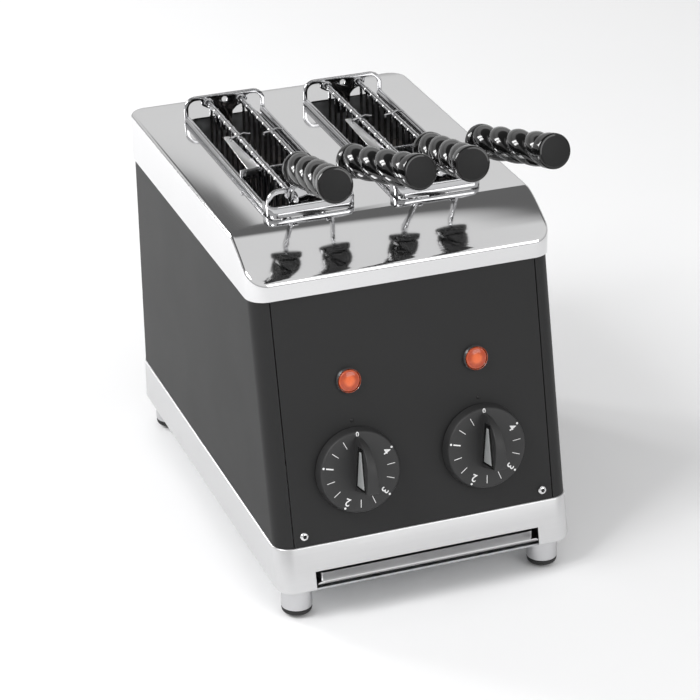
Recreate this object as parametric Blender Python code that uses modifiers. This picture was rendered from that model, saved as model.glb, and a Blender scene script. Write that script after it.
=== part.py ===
import math

import bmesh
import bpy
from mathutils import Matrix, Vector
from mathutils.geometry import interpolate_bezier

# A counter toaster for two sandwiches, each held in lift-out tongs that hang in a slot of the lid.
# Toaster space: x to the right, y to the back from the front bottom edge of the base, z up from
# the underside of the base. One empty carries it all to the row's origin under the middle.

# Fits
gap = 0.0003                  # between faces that rest on or sit beside each other
overrun = 0.004               # how far a cutter runs past what it cuts
merge = 0.00002               # distance under which points of one mesh are merged

# Casing
lid_width = 0.220
body_depth = 0.337
lean = math.radians(12.8)     # how far the whole front leans back
sheet = 0.0012                # thickness of lid, wrap and panel
base_height = 0.0324
base_wall = 0.0015
base_flange = 0.0115          # shelf round the top of the base, on which the casing stands
base_proud = 0.0008           # how far the base stands out from the wrap
panel_height = 0.1696         # upright height from the base to the skirt of the lid
corner_radius = 0.012
corner_steps = 4
wrap_tuck = 0.008             # how far wrap and panel run up behind the skirt of the lid
panel_side_gap = 0.0007       # seam between the panel and the front edges of the wrap

# Lid
lip_height = 0.0129
lid_rise = 0.0223             # from the top of the front lip to the flat top
crown_run = 0.0458            # from the front lip back to the start of the flat top
lip_slope = math.radians(33)
crown_steps = 9
crown_reach_share = 0.39      # of the crown's run, for the handle of its curve at the lip
crown_flat_share = 0.22       # and for the handle at the flat top
slot_pitch_share = 0.42273    # of the lid's width
slot_width = 0.052
slot_rear_room = 0.0380       # behind the slots, for the terminal block
slot_setback = 0.008          # from the end of the crown to the slots
slot_corner = 0.005

# Bottom, feet and crumb tray
plate_thick = 0.0015
foot_radius = 0.0110
foot_sleeve = 0.0170
foot_inset = 0.0175           # foot centres from the sides and ends of the lid
pad_height = 0.0060
pad_neck_share = 0.9          # of the foot's radius
pad_rest_share = 0.62
foot_sides = 16
stud_radius = 0.0025
stud_rise = 0.0065            # stud of a foot above the bottom of the base
tray_width = 0.158
tray_height = 0.0076
tray_sheet = 0.0008
tray_back_room = 0.034        # between the tray and the back of the base
tray_lip_reach = 0.0070
tray_lip_rise = 0.0052
tray_lip_side = 0.001         # lip narrower than the notch, each side
notch_width = 0.166
notch_height = 0.0140
rib_width = 0.006             # ribs of the base plate that the tray slides on
rib_height = 0.0026
rib_inset = 0.004             # ribs in from the sides of the tray

# Front panel, knobs, timers and lamps, in panel space: x, up the slope, out of the panel
knob_up = 0.0480
knob_radius = 0.0300
knob_top_radius = 0.0285
knob_skirt = 0.0085
knob_clear = 0.0008           # running gap under the skirt
knob_sides = 40
grip_tip = 0.0255             # pointed end of the grip, up from the knob's axis
grip_tail = 0.0132            # and its broad end, down from the axis
grip_width = 0.0098           # at the broad end
grip_neck = 0.0230            # where the sides start to close to the point
grip_neck_width = 0.0046
grip_tip_width = 0.0016
grip_height = 0.0256
grip_round = 0.0006
inlay_top = 0.0170            # ends of the inlay, up and down from the knob's axis
inlay_bottom = 0.0080
inlay_middle = 0.0106         # above the skirt
inlay_nose_height = 0.0036
inlay_height = 0.0134
inlay_thick = 0.0010
shaft_radius = 0.0030
shaft_in_knob = 0.0035
shaft_in_timer = 0.0100
shaft_sides = 12
timer_size = 0.048
timer_depth = 0.034
bush_radius = 0.0048
bush_stand = 0.0042           # how far the timer's bush stands out of the panel
bush_sides = 16
nut_radius = 0.0085
nut_height = 0.0026
nut_sides = 6
knob_hollow_radius = 0.0115
knob_hollow_top = 0.0058
pilot_up = 0.1110
pilot_radius = 0.0093
pilot_hole = 0.0074
pilot_ring_height = 0.0034
lens_height = 0.0052
lens_dome_share = 0.72
pilot_wall = 0.0010
pilot_body_length = 0.026
pilot_sides = 20
panel_screw_inset = 0.0074    # screws in from the sides and up from the bottom of the panel
screw_radius = 0.0017
screw_head_radius = 0.0030
screw_head_height = 0.0019
screw_crown_share = 0.66
screw_length = 0.0065
screw_sides = 12
rail_rise = 0.013             # strip behind the panel that its screws bite into
rail_thick = 0.0030

# Chamber and heating
chamber_wall = 0.0010
chamber_margin = 0.0045       # chamber walls beyond the slot's ends
reflector_bottom = 0.018      # above the base
reflector_top = 0.007         # below the lid
reflector_side = 0.0125       # outer reflectors in from the wrap
heater_offset_share = 0.40323 # tube columns from the middle of a slot, of the slots' pitch
heater_rows = 3
heater_top = 0.035            # top run below the lid
heater_pitch = 0.035
heater_radius = 0.0035
heater_bend_steps = 6
rack_width = 0.0130
rack_thick = 0.0020
rack_margin = 0.0080          # rack above its top run
rack_room = 0.0020            # between the elements' bends and the chamber walls
rack_bar = 0.0100             # cross bar at the foot of a rack
rack_foot = 0.0275            # bottom of that bar below the bottom run, clear of the cages
hole_corners = 8

# Back: terminal block, cord gland, looms and vents
block_width = 0.044
block_depth = 0.018
block_height = 0.020
block_up = 0.030              # above the base
gland_x = 0.060
gland_up = 0.024
gland_flange_radius = 0.0100
gland_flange = 0.0035
gland_radius = 0.0075
gland_bore = 0.0040
gland_length = 0.014
gland_sides = 16
vent_count = 7
vent_pitch = 0.012
vent_width = 0.0035
vent_height = 0.032
vent_below_lid = 0.045
loom_radius = 0.0020
loom_hole = 0.0032
loom_up = 0.028
loom_step = 3

# Tongs, in tong space: x from the middle of the slot, y as in the casing, z up from the lid
rail_radius = 0.00225
rail_offset = 0.0290
band_height = 0.0085
band_thick = 0.0016
band_corner = 0.0060
band_leg = 0.0155             # how far the front band runs back beside the rails
band_setback = 0.0025         # front band ahead of the slot
hoop_thick = 0.0020
hoop_strip = 0.0030
hoop_top = 0.0190
hoop_half = 0.0312
hoop_corner = 0.0090
hoop_steps = 4
hoop_inset = 0.0050           # hoops in from the slot's ends
eye_half = 0.0178             # half width of the hoop's middle plate
eye_bottom = 0.0075
tongue_half = 0.0060
tongue_tip_share = 0.8
tongue_drop = 0.0100          # tongue below the lid
pin_hole = 0.0022
pin_up = 0.0145
hole_sides = 10
rod_offset = 0.0125
rod_up = 0.0130
rod_radius = 0.0020
rod_sides = 8
rod_front = 0.0095            # rod ahead of the front hoop
rod_back = 0.0045             # rod behind the rear hoop
wire_count = 15
wire_radius = 0.0011
wire_inset = 0.0070           # first and last wires in from the hoops
wire_sides = 5
cage_drop = 0.118             # bottom bar below the lid
bar_radius = 0.0016
bar_past = 0.003              # bar beyond the outer wires
bridge_after_wire = 4
bridge_thick = 0.0016
bridge_top = 0.0100
bridge_bottom = 0.0025
leaf_thick = 0.0009
leaf_length = 0.0630
leaf_side = 0.0004            # leaf's running gap to the rod, and to the rail
leaf_width = 0.0095
leaf_tip_share = 0.45
clip_after_wire = 8
clip_radius = 0.0008
clip_half = 0.0080
clip_skew = 0.0030
clip_rise = 0.0016
arm_thick = 0.0020
arm_weld = 0.0004             # how far the arm's foot is fused into the side of the rod
arm_width = 0.0070
arm_low = 0.0040              # middle of the arm's foot ahead of the front hoop
arm_knee_up = 0.0080
arm_knee_forward = 0.0045
arm_neck = 0.0080             # straight end of the arm, in line with its handle

# Handles, along their own axis from the flange
handle_forward = 0.0336       # flange ahead of the front hoop
handle_up = 0.0335            # flange above the rod
handle_out = 0.0061           # flange outside the rod
handle_tilt = math.radians(16)
handle_splay = math.radians(5.7)
handle_length = 0.1060
flange_radius = 0.0118
flange_length = 0.0060
neck_radius = 0.0094
neck_length = 0.0040
flute_out = 0.0116
flute_in = 0.0084
flute_round_share = 0.6       # power that rounds the lobes between the grooves
flute_lead = 0.0390           # one turn of the two-start, right-handed flutes
flute_steps = 21
flute_sides = 10
core_share = 0.8              # solid core, of the flutes' inner radius
cap_radius = 0.0120
cap_length = 0.0110
cap_round_share = 0.93
handle_sides = 14

# Finishes: colour, roughness, metallic
satin_steel = ((0.62, 0.62, 0.63), 0.38, 1.0)
polished_steel = ((0.78, 0.78, 0.79), 0.12, 1.0)
chrome_wire = ((0.72, 0.72, 0.73), 0.18, 1.0)
charcoal_paint = ((0.030, 0.031, 0.033), 0.48, 0.0)
galvanised = ((0.50, 0.51, 0.52), 0.42, 1.0)
black_plastic = ((0.012, 0.012, 0.013), 0.42, 0.0)
bakelite = ((0.008, 0.008, 0.009), 0.12, 0.0)
grey_plastic = ((0.33, 0.34, 0.35), 0.45, 0.0)
black_rubber = ((0.010, 0.010, 0.010), 0.75, 0.0)
amber_lens = ((0.80, 0.16, 0.03), 0.15, 0.0)
white_plastic = ((0.75, 0.74, 0.70), 0.45, 0.0)
ceramic_white = ((0.72, 0.70, 0.64), 0.65, 0.0)
element_sheath = ((0.22, 0.20, 0.19), 0.50, 1.0)
inlay_metal = ((0.45, 0.46, 0.46), 0.35, 1.0)
loom_sleeve = ((0.28, 0.26, 0.22), 0.70, 0.0)

# Places that follow from the sizes
slope = math.tan(lean)
wrap_half = lid_width / 2 - sheet - gap
wrap_rear = body_depth - sheet - gap
base_half = wrap_half + base_proud
base_rear = wrap_rear + base_proud
skirt_z = base_height + panel_height
lip_z = skirt_z + lip_height
lid_z = lip_z + lid_rise
panel_face_y = base_proud                    # where the panel's face would meet the underside's level
lip_y = panel_face_y + skirt_z * slope - gap - sheet
lid_corner = corner_radius + gap + sheet
slot_pitch = lid_width * slot_pitch_share
knob_pitch = slot_pitch                      # each knob stands in line with its slot
heater_offset = slot_pitch * heater_offset_share
slot_front = lip_y + crown_run + slot_setback
slot_rear = body_depth - slot_rear_room
slot_xs = (-slot_pitch / 2, slot_pitch / 2)
chamber_front = slot_front - chamber_margin   # inner faces of the chamber's end walls
chamber_rear = slot_rear + chamber_margin
hoop_front = slot_front + hoop_inset
hoop_rear = slot_rear - hoop_inset
tray_z = plate_thick + rib_height + gap
gland_rear = wrap_rear + gap + gland_flange
handle_dir = Vector((math.sin(handle_splay) * math.cos(handle_tilt),
                     -math.cos(handle_splay) * math.cos(handle_tilt), math.sin(handle_tilt)))
handle_tip_y = (hoop_front - handle_forward + handle_length * handle_dir.y
                - cap_radius * math.sin(handle_tilt))
middle_y = (handle_tip_y + max(gland_rear, body_depth)) / 2
foot_height = gap + foot_sleeve + gap + pad_height

for old in list(bpy.data.objects):
    bpy.data.objects.remove(old, do_unlink=True)


def collection(name):
    group = bpy.data.collections.new(name)
    bpy.context.scene.collection.children.link(group)
    return group


parts = collection("toaster")
cutters = collection("toaster_cutters")


def empty(name, location, parent=None, rotation=(0, 0, 0)):
    datum = bpy.data.objects.new(name, None)
    parts.objects.link(datum)
    datum.parent = parent
    datum.location = location
    datum.rotation_euler = rotation
    return datum


origin = empty("toaster_origin", (0, -middle_y, foot_height))
panel_datum = empty("panel_datum", (0, panel_face_y + base_height * slope, base_height), origin,
                    (math.pi / 2 - lean, 0, 0))


def material(name, finish):
    colour, roughness, metallic = finish
    made = bpy.data.materials.new(name)
    made.use_nodes = True
    shader = made.node_tree.nodes["Principled BSDF"]
    shader.inputs["Base Color"].default_value = (*colour, 1)
    shader.inputs["Roughness"].default_value = roughness
    shader.inputs["Metallic"].default_value = metallic
    return made


def to_mesh(bm, name):
    bmesh.ops.recalc_face_normals(bm, faces=bm.faces)
    if bm.calc_volume(signed=True) < 0:
        bmesh.ops.reverse_faces(bm, faces=bm.faces)
    mesh = bpy.data.meshes.new(name)
    bm.to_mesh(mesh)
    bm.free()
    return mesh


# One sub-part. Its mesh is in its parent's space, moved by the offset.
def part(name, bm, finish, parent=origin, offset=(0, 0, 0), smooth_angle=math.radians(35)):
    mesh = to_mesh(bm, name)
    mesh.shade_smooth()
    mesh.set_sharp_from_angle(angle=smooth_angle)
    mesh.materials.append(material(name + "_finish", finish))
    made = bpy.data.objects.new(name, mesh)
    parts.objects.link(made)
    made.parent = parent
    made.location = offset
    return made


def boolean(target, name, bm, operation):
    helper = bpy.data.objects.new(name, to_mesh(bm, name))
    cutters.objects.link(helper)
    helper.parent = target.parent
    helper.location = target.location
    helper.hide_render = True
    helper.display_type = 'WIRE'
    modifier = target.modifiers.new(name, 'BOOLEAN')
    modifier.operation = operation
    modifier.object = helper
    return helper


def cut(target, name, bm):
    return boolean(target, name, bm, 'DIFFERENCE')


def join(target, name, bm):
    return boolean(target, name, bm, 'UNION')


def evaluated(obj):
    bpy.context.view_layer.update()
    graph = bpy.context.evaluated_depsgraph_get()
    return bpy.data.meshes.new_from_object(obj.evaluated_get(graph))


# A mesh made by a temporary object, which is removed again
def take(obj):
    mesh = evaluated(obj)
    data = obj.data
    bpy.data.objects.remove(obj, do_unlink=True)
    if isinstance(data, bpy.types.Curve):
        bpy.data.curves.remove(data)
    bm = bmesh.new()
    bm.from_mesh(mesh)
    bpy.data.meshes.remove(mesh)
    bmesh.ops.remove_doubles(bm, verts=bm.verts, dist=merge)
    return bm


def add(bm, other, matrix=Matrix()):
    mesh = bpy.data.meshes.new("copy")
    other.to_mesh(mesh)
    mesh.transform(matrix)
    if matrix.determinant() < 0:
        mesh.flip_normals()
    bm.from_mesh(mesh)
    bpy.data.meshes.remove(mesh)


def add_block(bm, low, high):
    low, high = Vector(low), Vector(high)
    size = high - low
    matrix = Matrix.Translation((low + high) / 2) @ Matrix.Diagonal((*size, 1))
    return bmesh.ops.create_cube(bm, size=1, matrix=matrix)["verts"]


def block(low, high):
    bm = bmesh.new()
    add_block(bm, low, high)
    return bm


# A round bar from one point to another, narrower at its end if a second radius is given
def add_bar(bm, start, end, radius, sides, end_radius=None):
    start, end = Vector(start), Vector(end)
    along = end - start
    turn = along.to_track_quat('Z', 'Y').to_matrix().to_4x4()
    matrix = Matrix.Translation((start + end) / 2) @ turn
    bmesh.ops.create_cone(bm, cap_ends=True, segments=sides, radius1=radius,
                          radius2=radius if end_radius is None else end_radius,
                          depth=along.length, matrix=matrix)


# A block whose four upright edges are rounded
def rounded_block(low, high, radius, steps):
    bm = block(low, high)
    upright = [e for e in bm.edges if abs(e.verts[0].co.z - e.verts[1].co.z) > merge]
    bmesh.ops.bevel(bm, geom=upright, offset=radius, segments=steps, profile=0.5, affect='EDGES')
    return bm


# Lean the front of a shape back with the front of the toaster
def lean_front(bm, behind_y):
    for vert in bm.verts:
        if vert.co.y < behind_y:
            vert.co.y += vert.co.z * slope
    return bm


# A solid turned about z from (radius, height) points, top to bottom outside. The outline closes
# into a ring unless both its ends are on the axis.
def turned(outline, sides):
    mesh = bpy.data.meshes.new("profile")
    count = len(outline)
    edges = [(i, i + 1) for i in range(count - 1)]
    if outline[0][0] > 0:
        edges.append((count - 1, 0))
    mesh.from_pydata([(r, 0, z) for r, z in outline], edges, [])
    obj = bpy.data.objects.new("profile", mesh)
    cutters.objects.link(obj)
    screw = obj.modifiers.new("turn", 'SCREW')
    screw.steps = sides
    screw.render_steps = sides
    screw.use_merge_vertices = True
    screw.merge_threshold = merge
    return take(obj)


# A flat plate from closed outlines in x and y, with further outlines as holes, thick along z
def plate(outlines, thickness):
    curve = bpy.data.curves.new("outline", 'CURVE')
    curve.dimensions = '2D'
    curve.fill_mode = 'BOTH'
    curve.extrude = thickness / 2
    for outline in outlines:
        spline = curve.splines.new('POLY')
        spline.points.add(len(outline) - 1)
        for point, (x, y) in zip(spline.points, outline):
            point.co = (x, y, 0, 1)
        spline.use_cyclic_u = True
    obj = bpy.data.objects.new("outline", curve)
    cutters.objects.link(obj)
    return take(obj)


# A tube of wire along points
def tube(points, radius, resolution):
    curve = bpy.data.curves.new("wire", 'CURVE')
    curve.dimensions = '3D'
    curve.bevel_depth = radius
    curve.bevel_resolution = resolution
    curve.use_fill_caps = True
    spline = curve.splines.new('POLY')
    spline.points.add(len(points) - 1)
    for point, place in zip(spline.points, points):
        point.co = (*place, 1)
    obj = bpy.data.objects.new("wire", curve)
    cutters.objects.link(obj)
    return take(obj)


def arc(centre, radius, start, end, steps):
    angles = [math.radians(start + (end - start) * i / steps) for i in range(steps + 1)]
    return [(centre[0] + radius * math.cos(a), centre[1] + radius * math.sin(a)) for a in angles]


def circle(centre, radius, sides):
    return arc(centre, radius, 0, 360, sides)[:-1]


# Points of a smooth route through chosen points
def smooth_route(points, steps):
    points = [Vector(p) for p in points]
    ends = [2 * points[0] - points[1]] + points + [2 * points[-1] - points[-2]]
    route = []
    for before, start, end, after in zip(ends, ends[1:], ends[2:], ends[3:]):
        pull_start = start + (end - before) / 6
        pull_end = end - (after - start) / 6
        route += interpolate_bezier(start, pull_start, pull_end, end, steps + 1)[:-1]
    return route + [points[-1]]


def base_frame():
    bm = rounded_block((-base_half, 0, 0), (base_half, base_rear, base_height),
                       corner_radius + base_proud, corner_steps)
    frame = part("base_frame", lean_front(bm, body_depth / 2), satin_steel)
    front_wall = base_wall / math.cos(lean)
    inside = rounded_block((-base_half + base_wall, front_wall, -overrun),
                           (base_half - base_wall, base_rear - base_wall, base_height - base_wall),
                           corner_radius + base_proud - base_wall, corner_steps)
    cut(frame, "base_inside", lean_front(inside, body_depth / 2))
    shelf = base_wall + base_flange
    window = block((-base_half + shelf, base_height * slope + shelf, base_height / 2),
                   (base_half - shelf, base_rear - shelf, base_height + overrun))
    cut(frame, "base_window", window)
    notch = block((-notch_width / 2, -overrun, -overrun),
                  (notch_width / 2, base_wall + notch_height, notch_height))
    cut(frame, "tray_notch", notch)


def foot_places():
    side = lid_width / 2 - foot_inset
    ends = {"front": foot_inset, "rear": body_depth - foot_inset}
    return {end + "_" + name: (x, y) for end, y in ends.items()
            for name, x in (("left", -side), ("right", side))}


def bottom_and_feet():
    room = base_wall + gap
    low = (-base_half + room, room / math.cos(lean) + plate_thick * slope, 0)
    high = (base_half - room, base_rear - room, plate_thick)
    bm = rounded_block(low, high, corner_radius + base_proud - room, corner_steps)
    bottom = part("base_plate", bm, galvanised)
    outer = tray_width / 2 - rib_inset
    for side, name in ((-1, "left"), (1, "right")):
        xs = sorted((side * outer, side * (outer - rib_width)))
        rib = block((xs[0], foot_inset, plate_thick / 2),
                    (xs[1], base_rear - tray_back_room, plate_thick + rib_height))
        join(bottom, "tray_rib_" + name, rib)
    holes = bmesh.new()
    for x, y in foot_places().values():
        add_bar(holes, (x, y, -overrun), (x, y, plate_thick + overrun), stud_radius + gap, foot_sides)
    cut(bottom, "stud_holes", holes)

    neck = foot_radius * pad_neck_share
    for name, (x, y) in foot_places().items():
        sleeve = turned([(0, stud_rise), (stud_radius, stud_rise), (stud_radius, 0), (foot_radius, 0),
                         (foot_radius, -foot_sleeve), (0, -foot_sleeve)], foot_sides)
        part("foot_sleeve_" + name, sleeve, grey_plastic, origin, (x, y, -gap))
        pad = turned([(0, 0), (neck, 0), (foot_radius, -pad_height / 4), (foot_radius, -pad_height / 2),
                      (foot_radius * pad_rest_share, -pad_height), (0, -pad_height)], foot_sides)
        part("foot_pad_" + name, pad, black_rubber, origin, (x, y, -foot_sleeve - 2 * gap))


def crumb_tray():
    half = tray_width / 2
    front = base_wall + tray_height * slope
    rear = base_rear - tray_back_room
    bm = block((-half, front, tray_z), (half, rear, tray_z + tray_height))
    top = [f for f in bm.faces if f.normal.z > 0.5]
    bmesh.ops.delete(bm, geom=top, context='FACES')
    datum = empty("tray_datum", (0, front, tray_z), origin)
    tray = part("crumb_tray", bm, polished_steel, datum, (0, -front, -tray_z))
    wall = tray.modifiers.new("wall", 'SOLIDIFY')
    wall.thickness = tray_sheet
    wall.offset = -1
    wall.use_even_offset = True
    lip_half = notch_width / 2 - tray_lip_side
    tip = front - tray_lip_reach
    side_view = [(front + tray_sheet / 2, tray_z), (front + tray_sheet / 2, tray_z + tray_sheet),
                 (front - tray_lip_reach / 4, tray_z + tray_sheet), (tip, tray_z + tray_lip_rise),
                 (tip, tray_z + tray_lip_rise - tray_sheet), (front - tray_lip_reach / 4, tray_z)]
    lip = plate([side_view], 2 * lip_half)
    lip.transform(Matrix(((0, 0, 1, 0), (1, 0, 0, 0), (0, 1, 0, 0), (0, 0, 0, 1))))
    join(tray, "tray_lip", lip)


def body_wrap():
    low_z = base_height + gap
    high_z = skirt_z + wrap_tuck
    bm = rounded_block((-wrap_half, panel_face_y, low_z), (wrap_half, wrap_rear, high_z),
                       corner_radius, corner_steps)
    flat_front = wrap_half - corner_radius + merge
    open_faces = [f for f in bm.faces if abs(f.normal.z) > 0.5
                  or (f.normal.y < -0.5 and abs(f.calc_center_median().x) < merge
                      and f.calc_area() > flat_front * panel_height)]
    bmesh.ops.delete(bm, geom=open_faces, context='FACES')
    wrap = part("body_wrap", lean_front(bm, body_depth / 2), charcoal_paint)
    wall = wrap.modifiers.new("wall", 'SOLIDIFY')
    wall.thickness = sheet
    wall.offset = -1
    wall.use_even_offset = True
    openings = bmesh.new()
    vent_top = lid_z - vent_below_lid
    for i in range(vent_count):
        x = (i - (vent_count - 1) / 2) * vent_pitch
        add_block(openings, (x - vent_width / 2, wrap_rear - overrun, vent_top - vent_height),
                  (x + vent_width / 2, wrap_rear + overrun, vent_top))
    z = base_height + gland_up
    add_bar(openings, (gland_x, wrap_rear - overrun, z), (gland_x, wrap_rear + overrun, z),
            gland_radius + gap, gland_sides)
    cut(wrap, "vents_and_gland_hole", openings)


# The inside or outside of the lid, as far inside its outer faces as the inset says
def lid_solid(inset, bottom):
    half = lid_width / 2 - inset
    plan = rounded_block((-half, lip_y + inset, bottom), (half, body_depth - inset, lid_z + overrun),
                         lid_corner - inset, corner_steps)
    lip = Vector((lip_y, lip_z, 0))
    crown = Vector((lip_y + crown_run, lid_z, 0))
    reach = crown_run * crown_reach_share
    pull_lip = lip + Vector((math.cos(lip_slope), math.sin(lip_slope), 0)) * reach
    pull_crown = crown - Vector((crown_run * crown_flat_share, 0, 0))
    curve = [p.xy for p in interpolate_bezier(lip, pull_lip, pull_crown, crown, crown_steps)]
    side = []
    for i, point in enumerate(curve):
        before, after = curve[max(i - 1, 0)], curve[min(i + 1, len(curve) - 1)]
        run = (after - before).normalized()
        side.append(point + Vector((run.y, -run.x)) * inset)
    rear = body_depth + overrun
    front = lip_y - overrun
    first, top = side[0], lid_z - inset
    outline = [(front, bottom - overrun), (front, first.y - (first.x - front) * math.tan(lip_slope))]
    outline += [(p.x, p.y) for p in side[:-1]] + [(side[-1].x, top), (rear, top), (rear, bottom - overrun)]
    profile = plate([outline], lid_width + 2 * overrun)
    profile.transform(Matrix(((0, 0, 1, 0), (1, 0, 0, 0), (0, 1, 0, 0), (0, 0, 0, 1))))
    mesh = to_mesh(plan, "lid_plan")
    obj = bpy.data.objects.new("lid_plan", mesh)
    cutters.objects.link(obj)
    side_obj = bpy.data.objects.new("lid_profile", to_mesh(profile, "lid_profile"))
    cutters.objects.link(side_obj)
    both = obj.modifiers.new("profile", 'BOOLEAN')
    both.operation = 'INTERSECT'
    both.object = side_obj
    bm = take(obj)
    bpy.data.objects.remove(side_obj, do_unlink=True)
    return bm


def top_cover():
    cover = part("top_cover", lid_solid(0, skirt_z), polished_steel)
    cut(cover, "lid_inside", lid_solid(sheet, skirt_z - overrun))
    slots = bmesh.new()
    for x in slot_xs:
        low = (x - slot_width / 2, slot_front, lid_z - sheet - overrun)
        high = (x + slot_width / 2, slot_rear, lid_z + overrun)
        add(slots, rounded_block(low, high, slot_corner, corner_steps))
    cut(cover, "slots", slots)


def front_panel():
    half = wrap_half - corner_radius - panel_side_gap
    rise = (panel_height + wrap_tuck) / math.cos(lean)
    bm = block((-half, gap, -sheet), (half, rise, 0))
    panel = part("front_panel", bm, charcoal_paint, panel_datum)
    holes = bmesh.new()
    for side in (-1, 1):
        x = side * knob_pitch / 2
        screw_x = side * (half - panel_screw_inset)
        for place, up, radius, sides in ((x, knob_up, bush_radius + gap, bush_sides),
                                         (x, pilot_up, pilot_hole, pilot_sides),
                                         (screw_x, panel_screw_inset, screw_radius + gap, screw_sides)):
            add_bar(holes, (place, up, -sheet - overrun), (place, up, overrun), radius, sides)
    cut(panel, "panel_holes", holes)

    head = gap + screw_head_height
    back = -sheet - gap
    low_up = (rail_thick - back) * slope + gap
    rail = part("panel_rail", block((-half, low_up, back - rail_thick), (half, low_up + rail_rise, back)),
                galvanised, panel_datum)
    bores = bmesh.new()
    for side, name in ((-1, "left"), (1, "right")):
        x = side * (half - panel_screw_inset)
        screw = turned([(0, head), (screw_head_radius * screw_crown_share, head),
                        (screw_head_radius, gap + screw_head_height / 2), (screw_head_radius, gap),
                        (screw_radius, gap), (screw_radius, -screw_length), (0, -screw_length)],
                       screw_sides)
        part("panel_screw_" + name, screw, polished_steel, panel_datum, (x, panel_screw_inset, 0))
        add_bar(bores, (x, panel_screw_inset, back - rail_thick - overrun),
                (x, panel_screw_inset, overrun), screw_radius + gap, screw_sides)
    cut(rail, "rail_bores", bores)


# A signal lamp: its body comes through the panel from behind into a bright bezel with a lens
def pilot(side, name):
    place = (side * knob_pitch / 2, pilot_up, 0)
    body_radius = pilot_hole - gap
    ring = turned([(body_radius - pilot_wall, gap + pilot_ring_height),
                   (body_radius, gap + pilot_ring_height), (pilot_radius, gap + pilot_ring_height / 2),
                   (pilot_radius, gap), (body_radius, gap), (body_radius, -pilot_body_length),
                   (body_radius - pilot_wall, -pilot_body_length)], pilot_sides)
    part("pilot_lamp_" + name, ring, polished_steel, panel_datum, place)
    lens_radius = body_radius - pilot_wall - gap
    lens = turned([(0, lens_height), (lens_radius * lens_dome_share, lens_height),
                   (lens_radius, pilot_ring_height), (lens_radius, -sheet), (0, -sheet)], pilot_sides)
    part("pilot_lens_" + name, lens, amber_lens, panel_datum, place)


# A timer behind the panel, its nut in front, and the knob and shaft that turn together
def timer_and_knob(side, name):
    x = side * knob_pitch / 2
    axis = empty("knob_axis_" + name, (x, knob_up, 0), panel_datum)
    back = -sheet - gap
    bm = block((-timer_size / 2, -timer_size / 2, back - timer_depth),
               (timer_size / 2, timer_size / 2, back))
    timer = part("timer_" + name, bm, white_plastic, axis)
    bush = bmesh.new()
    add_bar(bush, (0, 0, back - overrun), (0, 0, bush_stand), bush_radius, bush_sides)
    join(timer, "timer_bush_" + name, bush)
    nut = bmesh.new()
    add_bar(nut, (0, 0, gap), (0, 0, gap + nut_height), nut_radius, nut_sides)
    join(timer, "timer_nut_" + name, nut)
    bore = bmesh.new()
    bottom = back - shaft_in_timer
    add_bar(bore, (0, 0, bottom - gap), (0, 0, bush_stand + overrun), shaft_radius + gap, shaft_sides)
    cut(timer, "timer_bore_" + name, bore)

    shaft = bmesh.new()
    shaft_top = knob_hollow_top + shaft_in_knob
    add_bar(shaft, (0, 0, bottom), (0, 0, shaft_top), shaft_radius, shaft_sides)
    part("timer_shaft_" + name, shaft, galvanised, axis)

    skirt_top = knob_clear + knob_skirt
    skirt = bmesh.new()
    add_bar(skirt, (0, 0, knob_clear), (0, 0, skirt_top), knob_radius, knob_sides, knob_top_radius)
    knob = part("knob_" + name, skirt, black_plastic, axis)
    join(knob, "grip_" + name, grip(skirt_top))
    hollow = bmesh.new()
    add_bar(hollow, (0, 0, knob_clear - overrun), (0, 0, knob_hollow_top), knob_hollow_radius,
            bush_sides)
    cut(knob, "knob_hollow_" + name, hollow)
    socket = bmesh.new()
    add_bar(socket, (0, 0, knob_hollow_top - overrun), (0, 0, shaft_top + gap), shaft_radius + gap,
            shaft_sides)
    cut(knob, "knob_socket_" + name, socket)
    inlay(name, skirt_top, knob, axis)


# Half width of the grip at a place up or down from the knob's axis
def grip_half(up):
    if up > grip_neck:
        share = (up - grip_neck) / (grip_tip - grip_neck)
        return (grip_neck_width + (grip_tip_width - grip_neck_width) * share) / 2
    share = (grip_neck - up) / (grip_neck + grip_tail)
    return (grip_neck_width + (grip_width - grip_neck_width) * share) / 2


# The knob's grip, an upright fin with a rounded back, broad at the tail and pointed at the tip
def grip(skirt_top):
    low = -overrun / 2
    side_view = [(-grip_tail, low), (grip_neck, low), (grip_tip, low), (grip_tip, grip_height * 0.2),
                 (grip_neck, grip_height * 0.47), (grip_neck * 0.77, grip_height * 0.8),
                 (grip_neck * 0.52, grip_height * 0.94), (grip_neck * 0.26, grip_height),
                 (0, grip_height * 0.99), (-grip_tail * 0.78, grip_height * 0.88)]
    bm = plate([side_view], 2)
    bm.transform(Matrix(((0, 0, 1, 0), (1, 0, 0, 0), (0, 1, 0, skirt_top), (0, 0, 0, 1))))
    for vert in bm.verts:
        vert.co.x = math.copysign(grip_half(vert.co.y), vert.co.x)
    bmesh.ops.dissolve_limit(bm, angle_limit=math.radians(1), verts=bm.verts, edges=bm.edges)
    rim = [e for e in bm.edges if max(v.co.z for v in e.verts) > skirt_top
           and e.calc_face_angle(0) > math.radians(75)]
    bmesh.ops.bevel(bm, geom=rim, offset=grip_round, segments=1, profile=0.5, affect='EDGES')
    return bm


# A tapered metal strip let into the left flank of the grip
def inlay(name, skirt_top, knob, axis):
    middle = skirt_top + inlay_middle

    def slab(outer, inner, grow):
        bm = block((outer, -inlay_bottom - grow, middle - 1), (inner, inlay_top + grow, middle + 1))
        for vert in bm.verts:
            height = inlay_nose_height if vert.co.y > 0 else inlay_height
            vert.co.z = middle + math.copysign(height / 2 + grow, vert.co.z - middle)
            vert.co.x -= grip_half(vert.co.y)
        return bm

    cut(knob, "inlay_pocket_" + name, slab(-overrun / 2, inlay_thick + gap, gap))
    part("knob_inlay_" + name, slab(0, inlay_thick, 0), inlay_metal, axis)


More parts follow.
